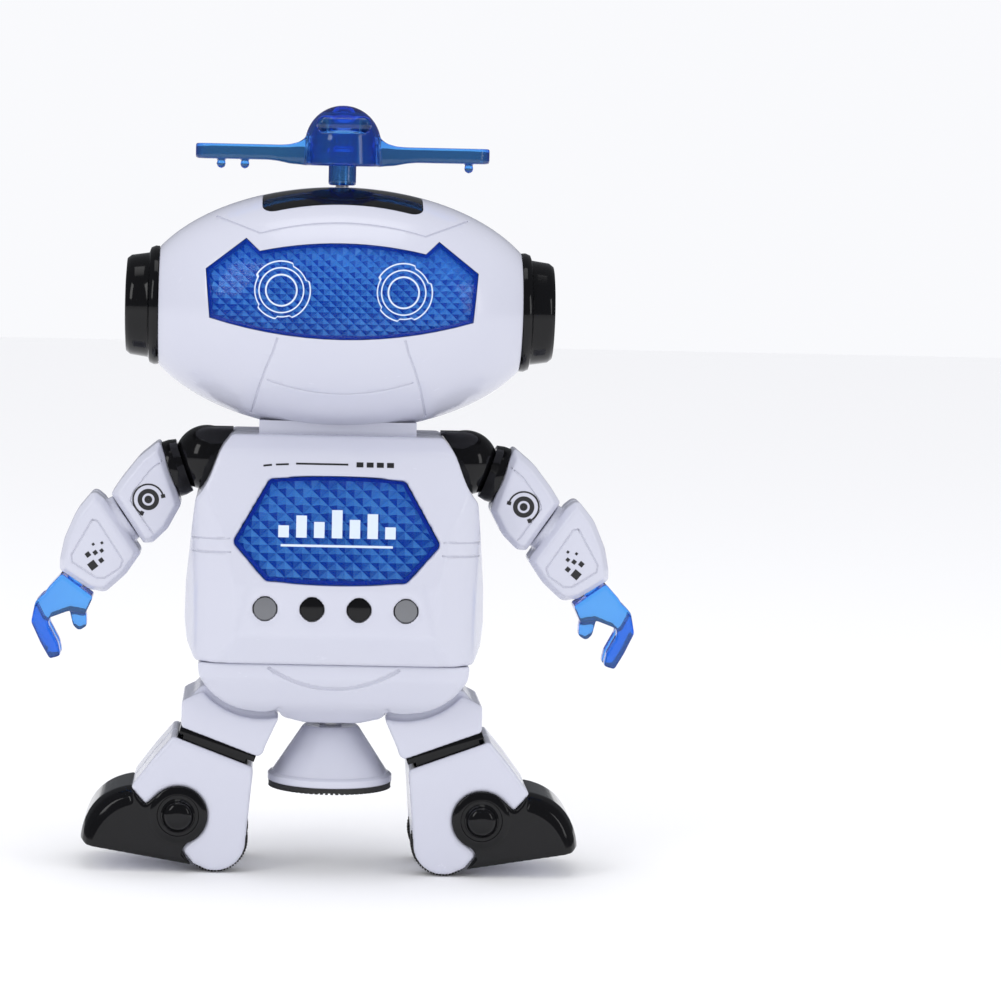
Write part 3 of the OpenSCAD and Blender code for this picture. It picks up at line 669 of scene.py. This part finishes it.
def head_shell():
    """The head as one hollow shell, open at the ears."""
    outer = [(head_radius(x), x) for x in head_stations(HEAD_END)]
    inner = [(head_radius(x) - WALL, x) for x in reversed(head_stations(HEAD_END - WALL))]
    lip = 0.6
    outer = [(outer[0][0] - lip, outer[0][1])] + outer[1:-1] + [(outer[-1][0] - lip, outer[-1][1])]
    profile = [(EAR_HOLE, -HEAD_END)] + outer + [(EAR_HOLE, HEAD_END), (EAR_HOLE, HEAD_END - WALL)]
    profile += inner + [(EAR_HOLE, WALL - HEAD_END)]
    piece = turned("head_shell", profile, sides=160)
    lay_along_x(piece, (0, 0, HEAD_AXIS_Z))
    return piece


def box_tool(low, high):
    deselect_all()
    bpy.ops.mesh.primitive_cube_add(size=1)
    piece = bpy.context.active_object
    piece.location = (Vector(low) + Vector(high)) / 2 * MM
    piece.scale = (Vector(high) - Vector(low)) * MM
    settle(piece)
    return piece


def window_tool(gap):
    half, front, corner = 24.6 - gap, -19.4 + gap, 4.5
    outline = [(half, -gap)]
    for i in range(7):
        turn = math.radians(90 * i / 6)
        outline.append((half - corner + corner * math.cos(turn), front + corner - corner * math.sin(turn)))
    outline += [(-x, y) for x, y in reversed(outline)]
    piece = prism("window_tool", outline, -230, -190)
    piece.rotation_euler = (-math.pi / 2, 0, 0)
    settle(piece)
    return piece


HEAD_SEAMS_FRONT = [
    [(-38.6, 202.5), (-25, 197.6)] + bow((-25, 197.6), (25, 197.6), 3.6) + [(25, 197.6), (38.6, 202.5)],
    [(-19.2, 166.5), (-20.6, 162), (-22.5, 157.3), (-24.6, 151), (-26.8, 142.5)],
    [(19.2, 166.5), (20.6, 162), (22.5, 157.3), (24.6, 151), (26.8, 142.5)],
    [(-22.2, 153.5)] + bow((-22.2, 153.5), (22.2, 153.5), -3.9) + [(22.2, 153.5)],
]


def make_head():
    shell = head_shell()
    carve(shell, prism("visor_tool", VISOR_OUTLINE, *FRONT_HALF))
    carve(shell, window_tool(0))
    carve(shell, box_tool(*NECK_SLOT))
    groove(shell, [front_line("head_front_shell", line) for line in HEAD_SEAMS_FRONT], 0.4)
    rear = bpy.data.objects.new("head_rear", shell.data.copy())
    bpy.context.collection.objects.link(rear)
    shell.name = "head_front"
    carve(shell, box_tool((-70, -HALF_SEAM, 120), (70, 60, 230)))
    carve(rear, box_tool((-70, -60, 120), (70, HALF_SEAM, 230)))
    for dx, dz in sound_holes():
        carve(rear, sound_hole_tool(dx, dz))
    for piece in (shell, rear):
        weld(piece, 0.004)
        ease_edges(piece, 0.25, 40)
    finish_piece(shell, "robot_body", WHITE, ["head_front_shell"])
    finish_piece(rear, "robot_body", WHITE, ["head_rear_shell"])


SOUND_HOLE_RINGS = [(0.0, 1), (4.5, 6), (8.6, 12)]
SOUND_HOLES_Z = 172


def sound_holes():
    return [(radius * math.cos(2 * math.pi * i / count), radius * math.sin(2 * math.pi * i / count))
            for radius, count in SOUND_HOLE_RINGS for i in range(count)]


def sound_hole_tool(dx, dz):
    deselect_all()
    bpy.ops.mesh.primitive_cylinder_add(vertices=20, radius=1.3 * MM, depth=20 * MM)
    tool = bpy.context.active_object
    lay_along_y(tool, (dx, 38, SOUND_HOLES_Z + dz))
    return tool


def lens(name, solid, outline, gap):
    """The part of a curved layer that lies in an opening, a gap short of its edge."""
    combine(solid, prism("lens_tool", inset_outline(outline, gap), *FRONT_HALF), "INTERSECT")
    solid.name = name
    weld(solid, 0.004)
    ease_edges(solid, 0.3, 40)
    return solid


def lay_on_front(sheet, node):
    """Moves a flat sheet back onto a CAD node's front, its faces turned to the front."""
    modify(sheet, "SHRINKWRAP", target=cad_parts[node], wrap_method="PROJECT",
           use_project_y=True, use_negative_direction=False, use_positive_direction=True)
    open_mesh(sheet)
    bpy.ops.mesh.normals_make_consistent(inside=False)
    close_mesh()
    if sum(face.normal.y for face in sheet.data.polygons) > 0:
        open_mesh(sheet)
        bpy.ops.mesh.flip_normals()
        close_mesh()


def facets(name, outline, node, tile, depth, height):
    """A sheet of raised diamonds laid behind a lens."""
    xs = [x for x, z in outline]
    zs = [z for x, z in outline]
    centre = ((min(xs) + max(xs)) / 2, (min(zs) + max(zs)) / 2)
    reach = max(xs) - min(xs) + 12
    across = tile[0] / math.sqrt(2)
    count = int(reach / across)
    deselect_all()
    bpy.ops.mesh.primitive_grid_add(x_subdivisions=count, y_subdivisions=count, size=count * across * MM)
    sheet = bpy.context.active_object
    sheet.name = name
    sheet.rotation_euler = (0, 0, math.pi / 4)
    settle(sheet)
    sheet.scale = (1, tile[1] / tile[0], 1)
    settle(sheet)
    sheet.rotation_euler = (math.pi / 2, 0, 0)
    sheet.location = (centre[0] * MM, -50 * MM, centre[1] * MM)
    settle(sheet)
    modify(sheet, "SOLIDIFY", thickness=2 * MM, offset=0)
    combine(sheet, prism("facet_tool", inset_outline(outline, 0.7), -60, -40), "INTERSECT")
    choose_faces(sheet, lambda place, normal: normal.y > -0.9)
    bpy.ops.mesh.delete(type="FACE")
    close_mesh()
    lay_on_front(sheet, node)
    open_mesh(sheet)
    bpy.ops.transform.translate(value=(0, depth * MM, 0))
    bpy.ops.mesh.poke(offset=height * MM, center_mode="MEDIAN")
    close_mesh()
    modify(sheet, "SOLIDIFY", thickness=0.4 * MM, offset=-1)
    return sheet


def rim(name, solid, outline, gap, width):
    """The band of a curved layer along an opening's edge."""
    combine(solid, prism("rim_outer", inset_outline(outline, gap), *FRONT_HALF), "INTERSECT")
    carve(solid, prism("rim_inner", inset_outline(outline, gap + width), *FRONT_HALF))
    solid.name = name
    weld(solid, 0.004)
    smooth_by_angle(solid, 35)
    return solid


HEAD_LAYER_END = 48.0


def head_layer(name, outer, inner):
    """A thin shell that follows the head, between two depths under its surface."""
    solid = head_solid(name, outer, HEAD_LAYER_END)
    carve(solid, head_solid("layer_tool", inner, HEAD_LAYER_END + 2))
    return solid


NOTCH_DEPTH = 0.75


def ring_mark(name, centre, radius, width, node, notches=()):
    """A printed ring laid on a lens; a notch steps it inwards between two angles."""
    deselect_all()
    bpy.ops.mesh.primitive_circle_add(vertices=96, radius=radius * MM)
    ring = bpy.context.active_object
    ring.name = name
    open_mesh(ring)
    bpy.ops.mesh.extrude_region_move()
    scale = (radius - width) / radius
    bpy.ops.transform.resize(value=(scale, scale, 1), center_override=(0, 0, 0))
    close_mesh()
    for vertex in ring.data.vertices:
        angle = math.degrees(math.atan2(vertex.co.y, vertex.co.x)) % 360
        if any(start <= angle <= end for start, end in notches):
            vertex.co *= 1 - NOTCH_DEPTH / radius
    ring.rotation_euler = (math.pi / 2, 0, 0)
    ring.location = (centre[0] * MM, BEFORE_FRONT * MM, centre[1] * MM)
    settle(ring)
    lay_mark(ring, node)
    return ring


def lay_mark(mark, node):
    """Lays a flat mark on a CAD node's front and gives it the thickness of ink."""
    lay_on_front(mark, node)
    modify(mark, "SOLIDIFY", thickness=2 * INK_PROUD * MM, offset=0)


def bar_mark(name, points, width, node):
    """A printed stroke through points in the front view."""
    fine = along(points, 1.0)
    deselect_all()
    bpy.ops.mesh.primitive_grid_add(x_subdivisions=max(1, len(fine) - 1), y_subdivisions=1, size=MM)
    mark = bpy.context.active_object
    mark.name = name
    count = len(fine)
    for i, vertex in enumerate(mark.data.vertices):
        column, row = i % count, i // count
        here = Vector(fine[column])
        after = Vector(fine[min(column + 1, count - 1)])
        before = Vector(fine[max(column - 1, 0)])
        way = (after - before).normalized()
        across = Vector((-way.y, way.x)) * width / 2 * (1 if row else -1)
        spot = here + across
        vertex.co = (spot.x * MM, BEFORE_FRONT * MM, spot.y * MM)
    lay_mark(mark, node)
    return mark


EYE_RINGS = [
    (4.9, 0.5, ()),
    (6.9, 0.4, ()),
    (8.9, 0.4, ((20, 65), (150, 215), (262, 290))),
]


def make_visor():
    visor = lens("visor", head_layer("visor", 0.1, 1.5), VISOR_OUTLINE, 0.15)
    finish_piece(visor, "robot_body", LENS_BLUE, ["visor_lens"])
    edge = rim("visor_rim", head_layer("visor_rim", 1.55, 3.4), VISOR_OUTLINE, 0.15, 1.0)
    finish_piece(edge, "robot_body", RIM_BLUE)
    sheet = facets("visor_facets", VISOR_OUTLINE, "visor_lens", (3.7, 3.4), 3.6, 1.1)
    finish_piece(sheet, "robot_body", FINE_FOIL, ["visor_reflector"])
    rings = []
    for side in (-1, 1):
        centre = (side * EYE_AT[0], EYE_AT[1])
        for radius, width, notches in EYE_RINGS:
            rings.append(ring_mark("ring", centre, radius, width, "visor_lens", notches))
    marks = join("eye_rings", rings)
    finish_piece(marks, "robot_body", INK_WHITE)


def make_roof_window():
    pane = head_layer("roof_window", 0.1, 2.0)
    combine(pane, window_tool(0.2), "INTERSECT")
    weld(pane, 0.004)
    ease_edges(pane, 0.3, 40)
    finish_piece(pane, "robot_body", SMOKED, ["top_window"])


def make_ears_and_neck():
    for side in SIDES:
        cap = copy_of(f"ear_cap_{side}", f"ear_{side}")
        ease_edges(cap, 0.25, 35)
        finish_piece(cap, "robot_body", BLACK, [f"ear_cap_{side}"])
    neck = box_tool(*NECK_COLLAR)
    neck.name = "neck_collar"
    carve(neck, head_solid("head_tool", 0, 55))
    ease_edges(neck, 0.4, 30)
    finish_piece(neck, "robot_body", WHITE, ["neck_block"])


make_head()
make_visor()
make_roof_window()
make_ears_and_neck()


# ---- torso --------------------------------------------------------------------

TORSO_SEAMS = [
    [(30.9, 105.4), (47, 104.6)],
    [(32, 101.2), (47, 100.4)],
]
BELLY_PANEL = [(25.9, 92.2), (30, 75.9), (33.2, 66.5), (-33.2, 66.5), (-30, 75.9), (-25.9, 92.2)]
BELLY_PANEL_PROUD = 0.55
LEVEL_BARS = [(106, 109.6), (106, 112.6), (106, 110.8), (106, 114.4), (106, 111.6), (106, 113.4),
              (106, 109.6)]
LEVEL_BAR_STEP = 5.4
LEVEL_LINE = [(-17, 103.6), (17, 103.6)]
PELVIS_ARC = [(x, 59.2 + 7.0 * (x / 20.7) ** 2) for x in range(-20, 21, 2)]


def make_torso():
    front = copy_of("torso_front_shell", "torso_front")
    panel = copy_of("torso_front_shell", "panel")
    panel.location = (0, -BELLY_PANEL_PROUD * MM, 0)
    settle(panel)
    combine(panel, prism("panel_tool", BELLY_PANEL, -60, -28), "INTERSECT")
    combine(front, panel, "UNION")
    soften(front, 0.75, 5)
    lines = [front_line("torso_front_shell", [(s * x, z) for x, z in line])
             for line in TORSO_SEAMS for s in (-1, 1)]
    groove(front, lines, 0.28)
    finish_piece(front, "robot_body", WHITE, ["torso_front_shell"])
    rear = copy_of("torso_rear_shell", "torso_rear")
    soften(rear, 0.75, 5)
    finish_piece(rear, "robot_body", WHITE, ["torso_rear_shell"])


def make_chest():
    window = copy_of("chest_lens", "chest_window")
    ease_edges(window, 0.3, 40)
    finish_piece(window, "robot_body", LENS_BLUE, ["chest_lens"])
    sheet = facets("chest_facets", CHEST_OUTLINE, "chest_lens", (5.2, 4.8), 4.4, 1.5)
    finish_piece(sheet, "robot_body", BROAD_FOIL, ["chest_reflector"])
    make_chest_rim()
    make_level_bars()


def make_chest_rim():
    edge = prism("chest_rim", inset_outline(CHEST_OUTLINE, 0.2), -40, -20)
    carve(edge, prism("rim_inner", inset_outline(CHEST_OUTLINE, 1.3), *FRONT_HALF))
    layer = copy_of("chest_lens", "layer")
    layer.location = (0, 2.3 * MM, 0)
    settle(layer)
    combine(edge, layer, "INTERSECT")
    smooth_by_angle(edge, 35)
    finish_piece(edge, "robot_body", RIM_BLUE)


def make_level_bars():
    bars = []
    for i, (low, high) in enumerate(LEVEL_BARS):
        x = (i - (len(LEVEL_BARS) - 1) / 2) * LEVEL_BAR_STEP
        bars.append(bar_mark("bar", [(x, low), (x, high)], 3.2, "chest_lens"))
    bars.append(bar_mark("bar", LEVEL_LINE, 0.7, "chest_lens"))
    marks = join("chest_bars", bars)
    finish_piece(marks, "robot_body", INK_WHITE)


THIN_DASHES = [
    [(-22.7, 127.2), (-20.1, 127.5)],
    [(-18.9, 127.6), (-15, 127.8)],
    [(-12.8, 128), (3.1, 128)],
]
BOLD_DASHES = [[(5.6 + i * 3.1, 128), (5.6 + i * 3.1 + 2.1, 128)] for i in range(4)]


def make_torso_print():
    marks = [bar_mark("dash", dash, 0.55, "torso_front_shell") for dash in THIN_DASHES]
    marks += [bar_mark("dash", dash, 1.5, "torso_front_shell") for dash in BOLD_DASHES]
    for key in ("outer_left", "inner_left", "inner_right", "outer_right"):
        low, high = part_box(f"button_{key}")
        centre = ((low[0] + high[0]) / 2 / MM, (low[2] + high[2]) / 2 / MM)
        marks.append(ring_mark("bezel", centre, 4.15, 0.5, "torso_front_shell"))
    print_marks = join("chest_dashes", marks)
    finish_piece(print_marks, "robot_body", INK_BLACK)


def make_buttons():
    for name, material in (("outer_left", BUTTON_GREY), ("inner_left", BLACK), ("inner_right", BLACK),
                           ("outer_right", BUTTON_GREY)):
        node = f"button_{name}"
        key = copy_of(node, f"key_{name}")
        ease_edges(key, 0.3, 35)
        finish_piece(key, node, material, [node])


def make_pelvis():
    bowl = copy_of("pelvis_shell", "pelvis")
    soften(bowl, 0.75, 5)
    groove(bowl, [front_line("pelvis_shell", PELVIS_ARC)], 0.6)
    finish_piece(bowl, "robot_body", WHITE, ["pelvis_shell"])


def make_back():
    door = copy_of("battery_door", "battery_cover")
    ease_edges(door, 0.3, 35)
    finish_piece(door, "battery_door", WHITE, ["battery_door"])
    switch = copy_of("power_switch", "switch_slider")
    ease_edges(switch, 0.25, 35)
    finish_piece(switch, "power_switch", SATIN_BLACK, ["power_switch"])
    for side in SIDES:
        ball = copy_of(f"shoulder_dome_{side}", f"shoulder_ball_{side}")
        ease_edges(ball, 0.2, 35)
        finish_piece(ball, "robot_body", BLACK, [f"shoulder_dome_{side}"])


make_torso()
make_chest()
make_torso_print()
make_buttons()
make_pelvis()
make_back()


# ---- arms ---------------------------------------------------------------------

ARM_PANELS = {
    "upper_arm": [(13.6, 0.4), (17.6, -2.6), (22.9, -8.8), (24.0, -11.4), (17.6, -22.0)],
    "forearm": [(36.2, -16.8), (34.6, -17.2), (27.4, -29.8), (28.4, -32.2), (33.2, -35.0), (35.8, -34.9),
                (43.0, -29.6), (43.2, -27.4), (36.2, -16.8)],
}
FOREARM_SQUARES = [(36.3, -24.4, 0.8), (33.6, -24.1, 0.8), (38.1, -27.5, 1.5), (35.8, -27.0, 1.3),
                   (33.8, -26.5, 1.1), (36.8, -30.9, 2.5), (34.1, -29.5, 1.4)]


def make_arm(side):
    for part, body in (("upper_arm_front", "upper_arm"), ("upper_arm_rear", "upper_arm"),
                       ("forearm_front", "forearm"), ("forearm_rear", "forearm")):
        node = f"{part}_{side}"
        shell = copy_of(node, f"{part}_shell_{side}")
        soften(shell, 0.45, 8)
        line = [arm_place(u, w, side) for u, w in ARM_PANELS[body]]
        groove(shell, [front_line(node, line, 1 if part.endswith("rear") else -1)], 0.3)
        finish_piece(shell, f"{body}_{side}", WHITE, [node])
    collar = copy_of(f"shoulder_collar_{side}", f"collar_{side}")
    ease_edges(collar, 0.25, 35)
    finish_piece(collar, f"upper_arm_{side}", BLACK, [f"shoulder_collar_{side}"])
    hand = copy_of(f"hand_{side}", f"claw_{side}")
    soften(hand, 0.4, 11)
    finish_piece(hand, f"hand_{side}", CLEAR_BLUE, [f"hand_{side}"])
    make_arm_print(side)


BADGE_AT = (18.6, -11.4)
BADGE_RING = 4.7


def badge_point(centre, side, angle):
    """A point of the open ring round a badge, at an angle in degrees."""
    turn = math.radians(angle)
    across = BADGE_RING * math.cos(turn)
    return (centre[0] - SIDES[side] * across, centre[1] + BADGE_RING * math.sin(turn))


def make_arm_print(side):
    squares = []
    for u, w, size in FOREARM_SQUARES:
        ends = [arm_place(u + 0.285 * size * way, w + 0.41 * size * way, side) for way in (-1, 1)]
        squares.append(bar_mark("square", ends, size, f"forearm_front_{side}"))
    marks = join(f"forearm_squares_{side}", squares)
    finish_piece(marks, f"forearm_{side}", INK_BLACK)
    make_badge(side)


def make_badge(side):
    centre = arm_place(*BADGE_AT, side)
    node = f"upper_arm_front_{side}"
    disc = [ring_mark("ring", centre, 3.3, 1.4, node), ring_mark("ring", centre, 1.2, 1.15, node)]
    arc = [badge_point(centre, side, angle) for angle in range(20, 241, 10)]
    disc.append(bar_mark("arc", arc, 0.5, node))
    for angle in (14, 246):
        block = [badge_point(centre, side, angle - 7), badge_point(centre, side, angle + 7)]
        disc.append(bar_mark("block", block, 1.3, node))
    badge = join(f"badge_{side}", disc)
    finish_piece(badge, f"upper_arm_{side}", INK_BLACK)


# ---- legs ---------------------------------------------------------------------

HUB_AT = (46.9, 17.9)
HUB_FACE = 17.25
HUB_PROFILE = [(9.1, 0), (9.1, 1.3), (8.7, 1.75), (6.5, 1.85), (6.1, 1.35), (5.5, 1.35), (5.1, 1.9),
               (4.7, 2.1), (4.5, 2.9), (3.9, 3.7), (2.9, 4.2), (1.5, 4.45), (0.3, 4.5)]
TOE_HALF_WIDTH = 18.85
WHEEL_SPANS = ((-16.0, -9.2), (9.2, 16.0))
WHEEL_BORE = 1.6
WHEEL_RIBS = 64
RIB_HEIGHT = 0.42


def make_leg(side):
    thigh = copy_of(f"thigh_{side}", f"thigh_shell_{side}")
    soften(thigh, 0.6, 8)
    finish_piece(thigh, f"thigh_{side}", WHITE, [f"thigh_{side}"])
    knee = copy_of(f"knee_core_{side}", f"knee_{side}")
    ease_edges(knee, 0.3, 35)
    finish_piece(knee, f"thigh_{side}", BLACK, [f"knee_core_{side}"])
    for half in ("front", "rear"):
        boot = copy_of(f"boot_{half}_{side}", f"boot_shell_{half}_{side}")
        soften(boot, 0.6, 8)
        finish_piece(boot, f"boot_{side}", WHITE, [f"boot_{half}_{side}"])
    toe = copy_of(f"toe_cap_{side}", f"toe_{side}")
    for low, high in ((-30, -TOE_HALF_WIDTH), (TOE_HALF_WIDTH, 30)):
        carve(toe, box_tool((-100, low, 0), (100, high, 40)))
    soften(toe, 0.45, 12)
    toe = join(f"toe_{side}", [toe] + [hub_disc(side, way) for way in (-1, 1)])
    finish_piece(toe, f"boot_{side}", BLACK, [f"toe_cap_{side}"])
    make_wheels(side)


def hub_disc(side, way):
    """The round end of the toe cap, with a domed knob in a ring groove."""
    disc = turned("hub_disc", HUB_PROFILE, sides=72, closed=False)
    disc.rotation_euler = (way * -math.pi / 2, 0, 0)
    disc.location = Vector((SIDES[side] * HUB_AT[0], way * HUB_FACE, HUB_AT[1])) * MM
    settle(disc)
    smooth_by_angle(disc, 50)
    return disc


def ribbed_wheel(centre, radius, front, back):
    """A wheel whose rim stands up in ribs, one on every second face."""
    width = back - front
    profile = [(WHEEL_BORE, 0), (radius - 1.6, 0), (radius - 0.45, 0.5), (radius - 0.45, width - 0.5),
               (radius - 1.6, width), (WHEEL_BORE, width)]
    wheel = turned("wheel", profile, sides=2 * WHEEL_RIBS)
    lay_along_y(wheel, (centre.x, back, centre.z))

    def on_rib(place, normal):
        reach = math.hypot(place.x - centre.x, place.z - centre.z)
        angle = math.atan2(place.z - centre.z, place.x - centre.x)
        return reach > radius - 0.6 and round(angle / math.pi * WHEEL_RIBS - 0.5) % 2 == 0

    choose_faces(wheel, on_rib)
    bpy.ops.mesh.extrude_faces_move(TRANSFORM_OT_shrink_fatten={"value": RIB_HEIGHT * MM})
    close_mesh()
    smooth_by_angle(wheel, 25)
    return wheel


def make_wheels(side):
    box = [Vector(corner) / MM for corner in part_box(f"heel_wheels_{side}")]
    centre = (box[0] + box[1]) / 2
    radius = (box[1].z - box[0].z) / 2
    wheels = [ribbed_wheel(centre, radius, front, back) for front, back in WHEEL_SPANS]
    pair = join(f"ribbed_wheels_{side}", wheels)
    finish_piece(pair, f"heel_wheels_{side}", RUBBER, [f"heel_wheels_{side}"])


for side in SIDES:
    make_arm(side)
    make_leg(side)


# ---- turntable and plane --------------------------------------------------------

TREAD_PROFILE = [(13, 2), (13, 0.5), (13.6, 0.5), (15.3, 0.5), (15.9, 0.5), (17.6, 0.5), (18.2, 0.5),
                 (19.1, 0.7), (19.2, 2)]
TREAD_ROWS = ((13.6, 15.3), (15.9, 17.6), (18.2, 19.2))
TREAD_RIBS = 72
TREAD_RIB_HEIGHT = 0.45


def make_turntable():
    cone = copy_of("turntable_cone", "cone")
    smooth_by_angle(cone, 30)
    finish_piece(cone, "turntable", WHITE, ["turntable_cone"])
    hub = copy_of("turntable_hub", "hub")
    ease_edges(hub, 0.25, 35)
    finish_piece(hub, "turntable", BLACK, ["turntable_hub"])
    make_tread()


def make_tread():
    """A rubber ring with three rows of ribs on its underside."""
    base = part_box("turntable_tread")[0][2] / MM
    profile = [(radius, base + height) for radius, height in TREAD_PROFILE]
    tread = turned("tread", profile, sides=2 * TREAD_RIBS)

    def on_rib(place, normal):
        reach = math.hypot(place.x, place.y)
        in_a_row = any(inner < reach < outer for inner, outer in TREAD_ROWS)
        step = round(math.atan2(place.y, place.x) / math.pi * TREAD_RIBS - 0.5)
        return in_a_row and normal.z < -0.5 and step % 2 == 0

    choose_faces(tread, on_rib)
    bpy.ops.mesh.extrude_faces_move(TRANSFORM_OT_shrink_fatten={"value": TREAD_RIB_HEIGHT * MM})
    close_mesh()
    smooth_by_angle(tread, 25)
    finish_piece(tread, "turntable", RUBBER, ["turntable_tread"])


def make_plane():
    plane = copy_of("plane_body", "toy_plane")
    soften(plane, 0.42, 9)
    finish_piece(plane, "plane", CLEAR_BLUE, ["plane_body"])


make_turntable()
make_plane()


# ---- inner pieces keep their CAD shape --------------------------------------------

INNER_FINISHES = {
    "eye_led_board": BOARD, "main_board": BOARD, "speaker": SATIN_BLACK, "battery_tray": SATIN_BLACK,
    "batteries": CELL_WRAP, "gearbox": GEAR_GREY, "plane_spindle": STEEL, "lift_shaft": STEEL,
    "turntable_screws": STEEL, "wheel_axle_left": STEEL, "wheel_axle_right": STEEL,
}
for node, material in INNER_FINISHES.items():
    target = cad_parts[node]
    for slot in target.material_slots:
        slot.material = material


# ---- room -------------------------------------------------------------------------

def stage_material():
    material, nodes, links, shader = blank_material("pale_floor")
    shader.inputs["Base Color"].default_value = (0.985, 0.985, 0.99, 1)
    shader.inputs["Roughness"].default_value = 0.9
    shader.inputs["Specular IOR Level"].default_value = 0.1
    return material


def make_stage():
    deselect_all()
    bpy.ops.mesh.primitive_plane_add(size=8, location=(0, 0, 0))
    floor = bpy.context.active_object
    floor.name = "floor"
    floor.data.materials.append(stage_material())


def soft_light(name, place, aim, size, power):
    data = bpy.data.lights.new(name, "AREA")
    data.shape = "RECTANGLE"
    data.size, data.size_y = size
    data.energy = power
    lamp = bpy.data.objects.new(name, data)
    bpy.context.collection.objects.link(lamp)
    lamp.location = place
    lamp.rotation_euler = (Vector(aim) - Vector(place)).to_track_quat("-Z", "Y").to_euler()


def make_world():
    """White all round, but dark in mirror reflections, so that black plastic stays black."""
    world = bpy.data.worlds.new("studio")
    world.use_nodes = True
    nodes, links = world.node_tree.nodes, world.node_tree.links
    backdrop = nodes["Background"]
    backdrop.inputs["Color"].default_value = (0.97, 0.975, 1.0, 1)
    backdrop.inputs["Strength"].default_value = 0.98
    mirrored = nodes.new("ShaderNodeBackground")
    mirrored.inputs["Color"].default_value = (0.5, 0.52, 0.56, 1)
    mirrored.inputs["Strength"].default_value = 0.3
    choice = nodes.new("ShaderNodeMixShader")
    ray = nodes.new("ShaderNodeLightPath")
    links.new(ray.outputs["Is Glossy Ray"], choice.inputs["Fac"])
    links.new(backdrop.outputs["Background"], choice.inputs[1])
    links.new(mirrored.outputs["Background"], choice.inputs[2])
    links.new(choice.outputs["Shader"], nodes["World Output"].inputs["Surface"])
    bpy.context.scene.world = world


def make_light():
    make_world()
    soft_light("key", (-0.75, -0.8, 0.75), (0, 0, 0.12), (0.3, 0.7), 2.2)
    soft_light("fill", (0.95, -0.7, 0.45), (0, 0, 0.1), (0.22, 0.6), 1.1)
    soft_light("top", (0, -0.1, 1.2), (0, 0, 0.1), (0.7, 0.5), 1.6)


def make_camera():
    """The camera stands square in front, a little above the middle, and sees the robot to its left."""
    data = bpy.data.cameras.new("camera")
    data.sensor_width = 36
    data.lens = 131.7
    data.shift_x = 0.1648
    camera = bpy.data.objects.new("camera", data)
    bpy.context.collection.objects.link(camera)
    distance = 1.137
    azimuth = math.radians(-1.2)
    height = 0.21
    aim_z = 0.1148
    roll = math.radians(1.25)
    place = Vector((distance * math.sin(azimuth), -distance * math.cos(azimuth), height))
    way = Vector((0, 0, aim_z)) - place
    camera.location = place
    turn = way.to_track_quat("-Z", "Y").to_matrix().to_4x4() @ Matrix.Rotation(roll, 4, "Z")
    camera.rotation_euler = turn.to_euler()
    bpy.context.scene.camera = camera


make_stage()
make_light()
make_camera()
bpy.context.scene.view_settings.view_transform = "Standard"
